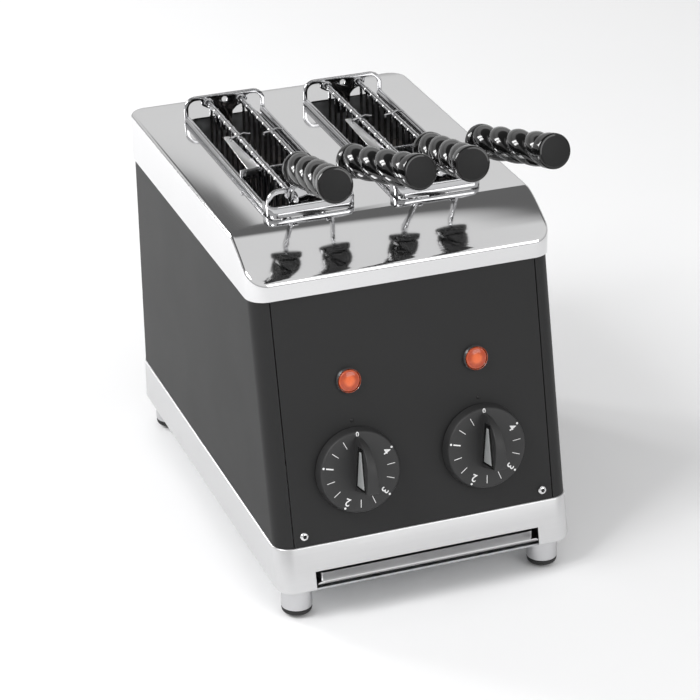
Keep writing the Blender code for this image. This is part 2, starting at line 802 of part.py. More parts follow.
def chamber():
    half = wrap_half - sheet - gap
    low_z = base_height + gap
    high_z = lid_z - sheet - gap
    loom_z = base_height + loom_up
    for name, y, away in (("front", chamber_front, -1), ("rear", chamber_rear, 1)):
        ys = sorted((y, y + away * chamber_wall))
        bm = block((-half, ys[0], low_z), (half, ys[1], high_z))
        wall = part("chamber_wall_" + name, bm, galvanised)
        holes = bmesh.new()
        for side in (-1, 1):
            x = side * loom_x()
            add_bar(holes, (x, ys[0] - overrun, loom_z), (x, ys[1] + overrun, loom_z), loom_hole,
                    shaft_sides)
        cut(wall, "loom_holes_" + name, holes)
    ends = (chamber_front + gap, chamber_rear - gap)
    high_z = lid_z - reflector_top
    outer = wrap_half - reflector_side
    low_z = base_height + reflector_bottom
    rack_top = rack_levels()[1] + gap
    for name, x, bottom in (("left", -outer, low_z), ("centre", 0, rack_top), ("right", outer, low_z)):
        bm = block((x - chamber_wall / 2, ends[0], bottom), (x + chamber_wall / 2, ends[1], high_z))
        part("reflector_" + name, bm, polished_steel)


def heater_runs():
    return [lid_z - heater_top - i * heater_pitch for i in range(heater_rows)]


# Bottom and top of the cross bars at the foot of the racks
def rack_levels():
    low = min(heater_runs()) - rack_foot
    return low, low + rack_bar


# Sheathed elements, each bent from one rod into level runs, and the two racks that they pass through
def heaters():
    columns = [x + side * heater_offset for x in slot_xs for side in (-1, 1)]
    runs = heater_runs()
    bend = heater_pitch / 2
    turn_room = bend + heater_radius + rack_room
    front, rear = chamber_front + turn_room, chamber_rear - turn_room
    low_z, bar_top = rack_levels()
    outer = wrap_half - reflector_side - chamber_wall / 2 - gap
    for name, y in (("front", front), ("rear", rear)):
        bm = block((-outer, y - rack_thick / 2, low_z), (outer, y + rack_thick / 2, bar_top))
        rack = part("element_rack_" + name, bm, galvanised)
        bars, holes = bmesh.new(), bmesh.new()
        for x in columns:
            add_block(bars, (x - rack_width / 2, y - rack_thick / 2, low_z + rack_bar / 2),
                      (x + rack_width / 2, y + rack_thick / 2, max(runs) + heater_radius + rack_margin))
            for z in runs:
                add_bar(holes, (x, y - overrun, z), (x, y + overrun, z),
                        heater_radius + 2 * gap, hole_corners)
        join(rack, "rack_bars_" + name, bars)
        cut(rack, "rack_holes_" + name, holes)
    names = ("left_outer", "left_inner", "right_inner", "right_outer")
    for name, x in zip(names, columns):
        route = [(chamber_front + gap, runs[0])]
        route += arc((rear, runs[0] - bend), bend, 90, -90, heater_bend_steps)
        route += arc((front, runs[1] - bend), bend, 90, 270, heater_bend_steps)
        route.append((chamber_rear - gap, runs[2]))
        part("heating_element_" + name, tube([(x, y, z) for y, z in route], heater_radius, 1),
             element_sheath)


def loom_x():
    return wrap_half - reflector_side / 2


# Where a place in panel space lies in toaster space
def from_panel(x, up, out):
    return Vector((x, panel_face_y + base_height * slope + up * math.sin(lean) - out * math.cos(lean),
                   base_height + up * math.cos(lean) + out * math.sin(lean)))


def back_bay():
    wall_back = chamber_rear + chamber_wall
    low_z = base_height + block_up
    bm = block((-block_width / 2, wall_back + gap, low_z),
               (block_width / 2, wall_back + gap + block_depth, low_z + block_height))
    part("terminal_block", bm, ceramic_white)

    z = base_height + gland_up
    flange = wrap_rear + gap
    inside = flange - gland_length
    gland = turned([(gland_bore, gland_flange), (gland_flange_radius, gland_flange),
                    (gland_flange_radius, 0), (gland_radius, 0), (gland_radius, inside - flange),
                    (gland_bore, inside - flange)], gland_sides)
    facing_back = Matrix.Translation((gland_x, flange, z)) @ Matrix.Rotation(-math.pi / 2, 4, 'X')
    gland.transform(facing_back)
    part("cord_gland", gland, black_plastic)

    loom_z = base_height + loom_up
    for side, name in ((-1, "left"), (1, "right")):
        start = from_panel(side * knob_pitch / 2, knob_up, -sheet - 2 * gap - timer_depth)
        inward = Vector((0, math.cos(lean), -math.sin(lean)))
        wall_front = chamber_front - chamber_wall
        block_side = side * (block_width / 2 + gap)
        block_y = wall_back + gap + block_depth / 2
        block_z = low_z + block_height / 2
        room = (wrap_rear - wall_back) / 2
        route = [start, start + inward * 2 * loom_radius, start + inward * 4 * loom_radius,
                 (side * (loom_x() - foot_inset), wall_front - foot_inset, loom_z),
                 (side * loom_x(), wall_front - foot_inset / 2, loom_z),
                 (side * loom_x(), wall_front + foot_inset / 2, loom_z),
                 (side * loom_x(), (chamber_front + chamber_rear) / 2, loom_z),
                 (side * loom_x(), wall_back - foot_inset / 2, loom_z),
                 (side * loom_x(), wall_back + room / 2, loom_z),
                 (side * (loom_x() - foot_inset), wall_back + room, loom_z + block_height / 4),
                 (block_side + side * foot_inset, block_y, block_z),
                 (block_side + side * 2 * loom_radius, block_y, block_z), (block_side, block_y, block_z)]
        part("wiring_loom_" + name, tube(smooth_route(route, loom_step), loom_radius, 1), loom_sleeve)


def wire_y(index):
    first = hoop_front + wire_inset
    last = hoop_rear - wire_inset
    return first + (last - first) * index / (wire_count - 1)


def tong_frame(name, x, datum, offset):
    top = lid_z + gap + band_height
    front = slot_front - band_setback
    back = front + band_leg
    half = rail_offset + rail_radius + gap
    bm = rounded_block((x - half, front, lid_z + 2 * gap), (x + half, back + 2 * band_corner, top),
                       band_corner, corner_steps)
    open_faces = [f for f in bm.faces if abs(f.normal.z) > 0.5
                  or (f.calc_center_median().y > back and abs(f.normal.x) < 0.9)]
    bmesh.ops.delete(bm, geom=open_faces, context='FACES')
    frame = part("tong_frame_" + name, bm, chrome_wire, datum, offset)
    wall = frame.modifiers.new("wall", 'SOLIDIFY')
    wall.thickness = band_thick
    wall.offset = -1
    wall.use_even_offset = True
    rails = bmesh.new()
    rail_z = lid_z + gap + rail_radius
    rail_rear = hoop_rear - hoop_thick / 2 - gap
    for side in (-1, 1):
        rail_x = x + side * rail_offset
        add_bar(rails, (rail_x, front + band_corner, rail_z), (rail_x, rail_rear, rail_z),
                rail_radius, rod_sides)
    join(frame, "rails_" + name, rails)
    y = bridge_y()
    reach = rail_offset - rail_radius / 3
    bridge = block((x - reach, y - bridge_thick / 2, lid_z + bridge_bottom),
                   (x + reach, y + bridge_thick / 2, lid_z + bridge_top))
    join(frame, "bridge_" + name, bridge)


# A hoop that straddles the slot: strip over the sides, middle plate with the rods' eyes, tongue
def hoop_outline(foot):
    inner_half = hoop_half - hoop_strip
    inner_top = hoop_top - hoop_strip
    inner_radius = hoop_corner - hoop_strip
    centre = (hoop_half - hoop_corner, hoop_top - hoop_corner)
    right = [(hoop_half, foot)] + arc(centre, hoop_corner, 0, 90, hoop_steps)
    inside = arc(centre, inner_radius, 90, 0, hoop_steps) + [(inner_half, foot)]
    tip = tongue_half * tongue_tip_share
    plate_right = [(eye_half, inner_top), (eye_half, eye_bottom + tongue_half),
                   (tongue_half + tongue_half / 2, eye_bottom), (tongue_half, eye_bottom - tongue_half / 2),
                   (tip, -tongue_drop)]
    half = list(reversed(plate_right)) + inside + right
    mirrored = [(-x, y) for x, y in reversed(half)]
    return half + mirrored


def hoops(name, x, datum, offset):
    rail_top = gap + 2 * rail_radius + gap
    for end, y, foot in (("front", hoop_front, rail_top), ("rear", hoop_rear, gap)):
        holes = [circle((side * rod_offset, rod_up), rod_radius + gap, hole_sides) for side in (-1, 1)]
        holes.append(circle((0, pin_up), pin_hole, hole_sides))
        bm = plate([hoop_outline(foot)] + holes, hoop_thick)
        bm.transform(Matrix.Translation((x, y, lid_z)) @ Matrix.Rotation(math.pi / 2, 4, 'X'))
        part(end + "_hoop_" + name, bm, chrome_wire, datum, offset)


# Middle of the cross plate, between two wires of the cages
def bridge_y():
    return (wire_y(bridge_after_wire) + wire_y(bridge_after_wire + 1)) / 2


# The leaf spring that lies on the cross plate, beside the left rod
def leaf_spring(name, x, datum, offset):
    inner = -rod_offset - rod_radius - leaf_side
    middle = inner - leaf_width / 2
    tip = leaf_width * leaf_tip_share / 2
    front = bridge_y() - bridge_thick
    outline = [(middle - leaf_width / 2, front), (inner, front), (middle + tip, front + leaf_length - tip)]
    outline += arc((middle, front + leaf_length - tip), tip, 0, 180, hoop_steps)[1:]
    leaf = plate([outline], leaf_thick)
    leaf.transform(Matrix.Translation((x, 0, lid_z + bridge_top + gap + leaf_thick / 2)))
    part("leaf_spring_" + name, leaf, chrome_wire, datum, offset)


# One half of the tongs, in the space of its rod: a rod with a comb of wires, a bottom bar and a clip
def cage(name, side, datum):
    front = hoop_front - rod_front
    back = hoop_rear + rod_back
    bm = bmesh.new()
    add_bar(bm, (0, front, 0), (0, back, 0), rod_radius, rod_sides)
    made = part("cage_" + name, bm, chrome_wire, datum, (0, -front, 0))
    wires = bmesh.new()
    bottom = -rod_up - cage_drop
    for i in range(wire_count):
        y = wire_y(i)
        add_bar(wires, (0, y, bottom), (0, y, 0), wire_radius, wire_sides)
    y = (wire_y(clip_after_wire) + wire_y(clip_after_wire + 1)) / 2
    top = rod_radius - clip_radius / 2
    clip = [(-clip_half, y - clip_skew, clip_rise), (-clip_half / 2, y - clip_skew, top),
            (0, y, top), (clip_half / 2, y + clip_skew, top), (clip_half, y + clip_skew, clip_rise)]
    add(wires, tube(clip, clip_radius, 1))
    join(made, "cage_wires_" + name, wires)
    bar = bmesh.new()
    add_bar(bar, (0, wire_y(0) - bar_past, bottom), (0, wire_y(wire_count - 1) + bar_past, bottom),
            bar_radius, rod_sides)
    join(made, "cage_bar_" + name, bar)
    join(made, "arm_" + name, arm(side))
    handle(name, side, datum, front)


# Outline of a flat strip that follows points, square at its ends
def strip_outline(points, width):
    points = [Vector(p) for p in points]
    left, right = [], []
    for i, point in enumerate(points):
        runs = [(b - a).normalized() for a, b in zip(points, points[1:])]
        before, after = runs[max(i - 1, 0)], runs[min(i, len(runs) - 1)]
        middle = (before + after).normalized()
        reach = width / 2 / max(middle.dot(after), 0.5)
        normal = Vector((-middle.y, middle.x)) * reach
        left.append(tuple(point + normal))
        right.append(tuple(point - normal))
    return left + list(reversed(right))


# The flat steel arm welded beside the rod, rising to its handle
def arm(side):
    flange_y = hoop_front - handle_forward
    foot_y = hoop_front - arm_low
    forward = Vector((handle_dir.y, handle_dir.z)).normalized()
    end = Vector((flange_y, handle_up)) - forward * gap
    neck = end - forward * arm_neck
    low = Vector((foot_y, 0))
    path = [low, (foot_y - arm_knee_forward, arm_knee_up), neck, end]
    bm = plate([strip_outline(path, arm_width)], arm_thick)
    bm.transform(Matrix(((0, 0, 1, 0), (1, 0, 0, 0), (0, 1, 0, 0), (0, 0, 0, 1))))
    foot_x = rod_radius - arm_weld + arm_thick / 2
    lean_out = (handle_out - foot_x) / handle_up
    for vert in bm.verts:
        vert.co.x = side * (foot_x + vert.co.x + max(vert.co.z, 0) * lean_out)
    return bm


# Radius of the fluted grip at an angle: two rounded lobes that meet in sharp grooves
def flute_radius(angle):
    return flute_in + (flute_out - flute_in) * abs(math.sin(angle)) ** flute_round_share


# A black handle with a flange, spiral flutes and a round end cap, turned about its own axis
def handle(name, side, datum, rod_end):
    start = flange_length + neck_length
    cap_start = handle_length - cap_length
    flutes = cap_start - start
    overlap = neck_length / 2
    angles = [2 * math.pi * i / flute_sides for i in range(flute_sides)]
    ring = [(flute_radius(a) * math.cos(a), flute_radius(a) * math.sin(a), start - overlap)
            for a in angles]
    mesh = bpy.data.meshes.new("flute_section")
    mesh.from_pydata(ring, [(i, (i + 1) % flute_sides) for i in range(flute_sides)], [])
    obj = bpy.data.objects.new("flute_section", mesh)
    cutters.objects.link(obj)
    twist = obj.modifiers.new("twist", 'SCREW')
    twist.screw_offset = flutes + 2 * overlap
    twist.angle = 2 * math.pi * twist.screw_offset / flute_lead
    twist.steps = flute_steps
    twist.render_steps = flute_steps
    grooved = take(obj)
    bmesh.ops.holes_fill(grooved, edges=[e for e in grooved.edges if e.is_boundary],
                         sides=flute_sides)
    core = flute_in * core_share
    smooth = turned([(0, handle_length), (cap_radius * cap_round_share, handle_length),
                     (cap_radius, handle_length - cap_length / 4), (cap_radius, cap_start + cap_length / 3),
                     (neck_radius, cap_start), (core, cap_start - overlap), (core, start + overlap),
                     (neck_radius, start), (neck_radius, flange_length), (flange_radius, flange_length),
                     (flange_radius, 0), (0, 0)], handle_sides)

    flange = Vector((side * handle_out, hoop_front - handle_forward, handle_up))
    pointing = Vector((side * handle_dir.x, handle_dir.y, handle_dir.z))
    placed = Matrix.Translation(flange) @ pointing.to_track_quat('Z', 'Y').to_matrix().to_4x4()
    smooth.transform(placed)
    grooved.transform(placed)
    made = part("handle_" + name, smooth, bakelite, datum, (0, -rod_end, 0))
    join(made, "flutes_" + name, grooved)


def tongs(name, x):
    lift = empty("tong_lift_" + name, (x, (slot_front + slot_rear) / 2, lid_z), origin)
    offset = (-lift.location.x, -lift.location.y, -lift.location.z)
    tong_frame(name, x, lift, offset)
    hoops(name, x, lift, offset)
    leaf_spring(name, x, lift, offset)
    for half, side in (("outer" if x < 0 else "inner", -1), ("inner" if x < 0 else "outer", 1)):
        rod_front_y = hoop_front - rod_front
        place = Vector((side * rod_offset, rod_front_y, rod_up)) - Vector((0, lift.location.y, 0))
        hinge = empty("cage_hinge_" + name + "_" + half, place, lift)
        cage(name + "_" + half, side, hinge)


base_frame()
bottom_and_feet()
crumb_tray()
body_wrap()
top_cover()
front_panel()
for side, name in ((-1, "left"), (1, "right")):
    pilot(side, name)
    timer_and_knob(side, name)
chamber()
heaters()
back_bay()
for x, name in zip(slot_xs, ("left", "right")):
    tongs(name, x)
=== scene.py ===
import math

import bmesh
import bpy
from mathutils import Matrix, Vector


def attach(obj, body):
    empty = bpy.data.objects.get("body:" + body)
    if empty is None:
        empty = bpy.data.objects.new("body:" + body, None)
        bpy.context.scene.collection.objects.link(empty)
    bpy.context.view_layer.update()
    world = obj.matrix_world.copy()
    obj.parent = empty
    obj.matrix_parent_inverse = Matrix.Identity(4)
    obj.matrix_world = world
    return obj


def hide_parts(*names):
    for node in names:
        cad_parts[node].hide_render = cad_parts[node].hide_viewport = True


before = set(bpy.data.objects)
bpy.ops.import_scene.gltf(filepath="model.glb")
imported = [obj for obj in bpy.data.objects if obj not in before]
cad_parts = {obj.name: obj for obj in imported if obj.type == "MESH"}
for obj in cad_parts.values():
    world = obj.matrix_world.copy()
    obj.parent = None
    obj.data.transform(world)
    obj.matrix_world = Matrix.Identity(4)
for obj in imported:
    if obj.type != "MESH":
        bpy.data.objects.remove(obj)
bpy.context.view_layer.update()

print("frame loaded:", len(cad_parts), "nodes")

panelPlace = Vector((0, -0.144337, 0.056))    # middle of the panel's bottom edge
panelLean = math.radians(12.8)
panelUp = Vector((0, math.sin(panelLean), math.cos(panelLean)))
panelOut = Vector((0, -math.cos(panelLean), math.sin(panelLean)))
panelSpace = Matrix.Translation(panelPlace) @ Matrix(((1, 0, 0), panelUp, panelOut)).transposed().to_4x4()
sides = {"left": -1, "right": 1}
slotMiddle = 0.0465                           # x of each slot, knob and lamp
lidTop = 0.2608
weldReach = 0.000004                          # points nearer than this are one
nearlyStraight = math.radians(89.5)           # half a corner that is too open to round
zForward = Matrix.Rotation(math.pi / 2, 4, "X")
zBack = Matrix.Rotation(-math.pi / 2, 4, "X")


def deselect():
    if bpy.context.mode != "OBJECT":
        bpy.ops.object.mode_set(mode="OBJECT")
    bpy.ops.object.select_all(action="DESELECT")


def activate(piece):
    deselect()
    piece.select_set(True)
    bpy.context.view_layer.objects.active = piece


def edit(piece):
    activate(piece)
    bpy.ops.object.mode_set(mode="EDIT")
    bpy.ops.mesh.select_mode(type="VERT")


def pick(piece, kind, wanted):
    bpy.ops.mesh.select_mode(type=kind)
    bpy.ops.mesh.select_all(action="DESELECT")
    mesh = bmesh.from_edit_mesh(piece.data)
    parts = {"VERT": mesh.verts, "EDGE": mesh.edges, "FACE": mesh.faces}[kind]
    for part in parts:
        if wanted(part):
            part.select_set(True)
    mesh.select_flush_mode()
    bmesh.update_edit_mesh(piece.data)


def settle():
    bpy.ops.object.transform_apply(location=True, rotation=True, scale=True)


def pickAll():
    bpy.ops.mesh.select_all(action="SELECT")


def extrudeUp(height):
    bpy.ops.mesh.extrude_region_move(TRANSFORM_OT_translate={"value": (0, 0, height)})


def faceOut():
    pickAll()
    bpy.ops.mesh.normals_make_consistent(inside=False)


def weld():
    pickAll()
    bpy.ops.mesh.remove_doubles(threshold=weldReach)
    bpy.ops.mesh.normals_make_consistent(inside=False)


def leave():
    bpy.ops.object.mode_set(mode="OBJECT")


def modify(piece, kind, **settings):
    activate(piece)
    made = piece.modifiers.new(kind.lower(), kind)
    for name, value in settings.items():
        setattr(made, name, value)
    bpy.ops.object.modifier_apply(modifier=made.name)


def soften(piece, width, steps, angle):
    modify(piece, "BEVEL", width=width, segments=steps, limit_method="ANGLE", angle_limit=math.radians(angle))


def roundRim(piece, wanted, width, steps):
    pick(piece, "FACE", wanted)
    bpy.ops.mesh.region_to_loop()
    bpy.ops.mesh.bevel(offset=width, segments=steps, affect="EDGES", clamp_overlap=False)


def discard(*pieces):
    for piece in pieces:
        bpy.data.objects.remove(piece, do_unlink=True)


def carve(piece, tool, operation="DIFFERENCE"):
    modify(piece, "BOOLEAN", object=tool, operation=operation, solver="EXACT")
    discard(tool)


def shift(x, y, z):
    return Matrix.Translation((x, y, z))


def place(piece, matrix):
    activate(piece)
    piece.matrix_world = matrix
    settle()


def tidy(piece, angle=32):
    edit(piece)
    weld()
    leave()
    bpy.ops.object.shade_smooth_by_angle(angle=math.radians(angle))


def named(piece, name):
    piece.name = name
    piece.data.name = name
    return piece


def startBlock(name, low, high):
    low, high = Vector(low), Vector(high)
    deselect()
    bpy.ops.mesh.primitive_cube_add(size=1, location=(low + high) / 2, scale=high - low)
    settle()
    return named(bpy.context.object, name)


# A slab with rounded upright corners, seen in plan
def startSlab(name, low, high, corner, steps):
    low, high = Vector(low), Vector(high)
    deselect()
    bpy.ops.mesh.primitive_plane_add(size=1, location=((low.x + high.x) / 2, (low.y + high.y) / 2, low.z))
    piece = named(bpy.context.object, name)
    piece.scale = (high.x - low.x, high.y - low.y, 1)
    settle()
    edit(piece)
    pickAll()
    bpy.ops.mesh.bevel(offset=corner, offset_type="OFFSET", segments=steps, affect="VERTICES",
                       clamp_overlap=False)
    pickAll()
    extrudeUp(high.z - low.z)
    faceOut()
    return piece


# A body turned about z: each ring of the outline is extruded from the one before and resized
def turnPiece(name, outline, segments, closed=False):
    deselect()
    radius, height = outline[0]
    bpy.ops.mesh.primitive_circle_add(vertices=segments, radius=radius, location=(0, 0, height),
                                      fill_type="NOTHING")
    settle()
    piece = named(bpy.context.object, name)
    edit(piece)
    pickAll()
    if not closed:
        bpy.ops.mesh.edge_face_add()
    for nextRadius, nextHeight in outline[1:] + ([outline[0]] if closed else []):
        extrudeUp(nextHeight - height)
        size = nextRadius / radius
        bpy.ops.transform.resize(value=(size, size, 1), center_override=(0, 0, nextHeight))
        radius, height = nextRadius, nextHeight
    weld()
    leave()
    return piece


# A chain of points, drawn by extruding one vertex from the last
def drawChain(name, points, closed=False):
    points = [Vector(p) for p in points]
    deselect()
    bpy.ops.mesh.primitive_plane_add(size=0.001, location=points[0])
    settle()
    piece = named(bpy.context.object, name)
    edit(piece)
    pickAll()
    bpy.ops.mesh.merge(type="CENTER")
    for start, end in zip(points, points[1:]):
        bpy.ops.mesh.extrude_vertices_move(TRANSFORM_OT_translate={"value": end - start})
    if closed:
        pickAll()
        bpy.ops.mesh.edge_face_add()
    return piece


# Flat sheet cut to an outline in x and y, thick along z from its lower face
def cutSheet(name, outline, thickness, edge=0.0, holes=()):
    piece = drawChain(name, [(x, y, 0) for x, y in outline], closed=True)
    extrudeUp(thickness)
    faceOut()
    leave()
    for x, y, radius in holes:
        hole = turnPiece("hole", [(radius, -thickness), (radius, 2 * thickness)], 32)
        place(hole, shift(x, y, 0))
        carve(piece, hole)
    if edge:
        soften(piece, edge, 2, 50)
    return piece


def bendWire(name, points, radius, around=6):
    piece = drawChain(name, points)
    activate(piece)
    bpy.ops.object.convert(target="CURVE")
    piece = bpy.context.object
    piece.data.bevel_depth = radius
    piece.data.bevel_resolution = around // 2 - 1
    piece.data.use_fill_caps = True
    bpy.ops.object.convert(target="MESH")
    return named(bpy.context.object, name)


def joinAll(pieces, name):
    deselect()
    for piece in pieces:
        piece.select_set(True)
    bpy.context.view_layer.objects.active = pieces[0]
    bpy.ops.object.join()
    return named(bpy.context.object, name)


def copyOf(piece, name, matrix):
    activate(piece)
    bpy.ops.object.duplicate(linked=False)
    copy = named(bpy.context.object, name)
    place(copy, matrix)
    return copy


# Points of a path whose corners are rounded
def roundedPath(points, radius, steps=5, closed=False):
    points = [Vector(p) for p in points]
    path = []
    count = len(points)
    for i, corner in enumerate(points):
        if not closed and i in (0, count - 1):
            path.append(corner)
            continue
        before, after = points[i - 1], points[(i + 1) % count]
        back, forth = (before - corner).normalized(), (after - corner).normalized()
        half = back.angle(forth) / 2
        size = radius[i] if isinstance(radius, (list, tuple)) else radius
        if size <= 0 or half > nearlyStraight:
            path.append(corner)
            continue
        reach = size / math.tan(half)
        centre = corner + (back + forth).normalized() * (size / math.sin(half))
        first, last = corner + back * reach - centre, corner + forth * reach - centre
        for k in range(steps + 1):
            path.append(centre + first.slerp(last, k / steps) * size)
    return path


# Outline of a strip of one width along a path in x and y
def stripAlong(path, width):
    left, right = [], []
    for i, point in enumerate(path):
        run = (path[min(i + 1, len(path) - 1)] - path[max(i - 1, 0)]).normalized()
        normal = Vector((-run.y, run.x, 0)) * width / 2
        left.append(point + normal)
        right.append(point - normal)
    return [(p.x, p.y) for p in left + right[::-1]]


# Turns a sheet drawn in y and z so that it is thick along x, from -half on
def acrossX(half):
    return Matrix(((0, 0, 1, -half), (1, 0, 0, 0), (0, 1, 0, 0), (0, 0, 0, 1)))


def finishPiece(piece, finish, body, nodes=(), angle=32):
    tidy(piece, angle)
    piece.data.materials.clear()
    piece.data.materials.append(finishes[finish])
    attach(piece, body)
    if nodes:
        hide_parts(*nodes)
    return piece


# A socket of a node tree, on which sums are written as in Python
class Wire:
    def __init__(self, tree, source):
        self.tree, self.source = tree, source

    def math(self, operation, first, second):
        return self.tree.node("ShaderNodeMath", {"operation": operation}, {0: first, 1: second})

    def __add__(self, other):
        return self.math("ADD", self, other)

    def __sub__(self, other):
        return self.math("SUBTRACT", self, other)

    def __rsub__(self, other):
        return self.math("SUBTRACT", other, self)

    def __mul__(self, other):
        return self.math("MULTIPLY", self, other)

    __radd__, __rmul__ = __add__, __mul__


class NodeTree:
    def __init__(self, tree):
        self.tree = tree

    def feed(self, target, value):
        if isinstance(value, Wire):
            self.tree.links.new(value.source, target)
        else:
            target.default_value = value

    def node(self, kind, settings, sockets, out=0):
        made = self.tree.nodes.new(kind)
        for key, value in settings.items():
            if key == "stops":
                ramp = made.color_ramp
                while len(ramp.elements) < len(value):
                    ramp.elements.new(1)
                for stop, (position, level) in zip(ramp.elements, value):
                    stop.position, stop.color = position, (level, level, level, 1)
            else:
                setattr(made, key, value)
        for key, value in sockets.items():
            self.feed(made.inputs[key], value)
        return Wire(self, made.outputs[out])

    def ramp(self, share, stops):
        return self.node("ShaderNodeValToRGB", {"stops": stops}, {0: share})


class Finish(NodeTree):
    def __init__(self, name, colour, roughness, metallic=0.0, **uniform):
        self.made = bpy.data.materials.new(name)
        self.made.use_nodes = True
        super().__init__(self.made.node_tree)
        self.shader = self.tree.nodes["Principled BSDF"]
        self.colour = colour
        self.set(**{"Base Color": (*colour, 1), "Roughness": roughness, "Metallic": metallic})
        self.set(**{key.replace("_", " "): value for key, value in uniform.items()})

    def set(self, **sockets):
        for key, value in sockets.items():
            self.feed(self.shader.inputs[key], value)

    def look(self, base, roughness, normal):
        self.set(**{"Base Color": base, "Roughness": roughness, "Normal": normal})
        return self.made

    def spot(self):
        return self.node("ShaderNodeTexCoord", {}, {}, 3)

    def moved(self, scale):
        return self.node("ShaderNodeMapping", {}, {"Vector": self.spot(), "Scale": scale})

    def noise(self, scale, detail=2.0, stretch=(1, 1, 1)):
        sockets = {"Vector": self.moved(stretch), "Scale": scale, "Detail": detail}
        return self.node("ShaderNodeTexNoise", {}, sockets)

    def tone(self, share, low, high):
        dark = tuple(c * low for c in self.colour) + (1,)
        light = tuple(min(c * high, 1) for c in self.colour) + (1,)
        return self.node("ShaderNodeMix", {"data_type": "RGBA"}, {0: share, 6: dark, 7: light}, 2)

    def bump(self, height, strength, distance):
        sockets = {"Height": height, "Strength": strength, "Distance": distance}
        return self.node("ShaderNodeBump", {}, sockets)


brushed = {"along": 6, "across": 900, "rough": 0.10, "depth": 0.00002}


def brushedSteel(name, colour, roughness, spread, direction):
    made = Finish(name, colour, roughness, 1.0)
    stretch = [brushed["along"] if axis == direction else brushed["across"] for axis in range(3)]
    grain = made.noise(1, 3, stretch)
    cloud = made.noise(14, 3)
    smear = made.noise(60, 2, (1, 1, 0.3))
    return made.look(
        made.tone(grain * 0.6 + cloud * 0.4, 1 - spread, 1 + spread),
        roughness - brushed["rough"] / 2 + grain * brushed["rough"] + smear * 0.05,
        made.bump(grain, 0.35, brushed["depth"]))


def mirrorSteel(name, colour, roughness, spread):
    made = Finish(name, colour, roughness, 1.0)
    haze = made.noise(22, 4)
    hairline = made.noise(1, 2, (1300, 9, 1300))
    wave = made.noise(9, 1)
    return made.look(
        made.tone(haze, 1 - spread, 1 + spread),
        roughness * 0.7 + haze * roughness * 0.4 + hairline * roughness * 0.25,
        made.bump(wave + hairline * 0.02, 0.12, 0.0006))


def powderCoat(name, colour, roughness):
    made = Finish(name, colour, roughness, 0.0, Specular_IOR_Level=0.32)
    peel = made.noise(2300, 2)
    cloud = made.noise(18, 3)
    dust = made.ramp(made.noise(900, 1), [(0.0, 0), (0.66, 0), (0.74, 1)])
    return made.look(
        made.tone(cloud * 0.7 + dust * 0.3, 0.86, 1.22),
        roughness - 0.05 + cloud * 0.08 + peel * 0.05,
        made.bump(peel, 0.35, 0.00004))


def moulded(name, colour, roughness, grain=1600, depth=0.00003, **uniform):
    made = Finish(name, colour, roughness, **uniform)
    pitting = made.noise(grain, 2)
    cloud = made.noise(35, 3)
    return made.look(
        made.tone(cloud, 0.8, 1.25),
        roughness * 0.88 + pitting * roughness * 0.16 + cloud * roughness * 0.1,
        made.bump(pitting, 0.25, depth))


def heatedMetal(name, colour, roughness):
    made = Finish(name, colour, roughness, 0.85)
    scale = made.noise(160, 5)
    patch = made.noise(24, 3)
    return made.look(
        made.tone(scale * 0.5 + patch * 0.5, 0.55, 1.5),
        roughness - 0.1 + scale * 0.2,
        made.bump(scale, 0.4, 0.00012))


def spangledZinc(name, colour, roughness):
    made = Finish(name, colour, roughness, 1.0)
    flake = made.node("ShaderNodeTexVoronoi", {}, {"Vector": made.spot(), "Scale": 160})
    cloud = made.noise(30, 3)
    return made.look(
        made.tone(flake * 0.8 + cloud * 0.2, 0.78, 1.18),
        roughness - 0.08 + flake * 0.16,
        made.bump(cloud, 0.1, 0.0001))


def wovenSleeve(name, colour, roughness):
    made = Finish(name, colour, roughness, 0.0)
    waves = [made.node("ShaderNodeTexWave", {"bands_direction": "DIAGONAL"},
                       {"Vector": made.moved(stretch), "Scale": 420, "Distortion": 0.6})
             for stretch in ((1, 1, 1), (-1, 1, -1))]
    weave = waves[0] * waves[1]
    return made.look(
        made.tone(weave, 0.55, 1.35),
        roughness - 0.08 + weave * 0.12,
        made.bump(weave, 0.6, 0.0002))


# Orange lens, brightest in its middle and again at its rim
def lampLens(name, colour, centre):
    made = Finish(name, colour, 0.12)
    turn = (math.pi / 2 - panelLean, 0, 0)
    inPanel = made.node("ShaderNodeMapping", {"vector_type": "TEXTURE"},
                        {"Vector": made.spot(), "Location": centre, "Rotation": turn})
    away = made.node("ShaderNodeVectorMath", {"operation": "LENGTH"}, {0: inPanel}, 1)
    ringed = made.ramp(away * 128, [(0.0, 1.0), (0.38, 0.8), (0.58, 0.25), (0.80, 0.1), (1.0, 0.5)])
    speckle = made.noise(420, 3)
    glow = ringed * 0.75 + speckle * 0.3
    colours = {0: glow, 6: (0.26, 0.022, 0.010, 1), 7: (0.82, 0.17, 0.055, 1)}
    lit = made.node("ShaderNodeMix", {"data_type": "RGBA"}, colours, 2)
    made.set(**{"Emission Color": lit, "Emission Strength": 0.05})
    return made.look(lit, 0.06 + speckle * 0.08, made.bump(speckle, 0.3, 0.0003))


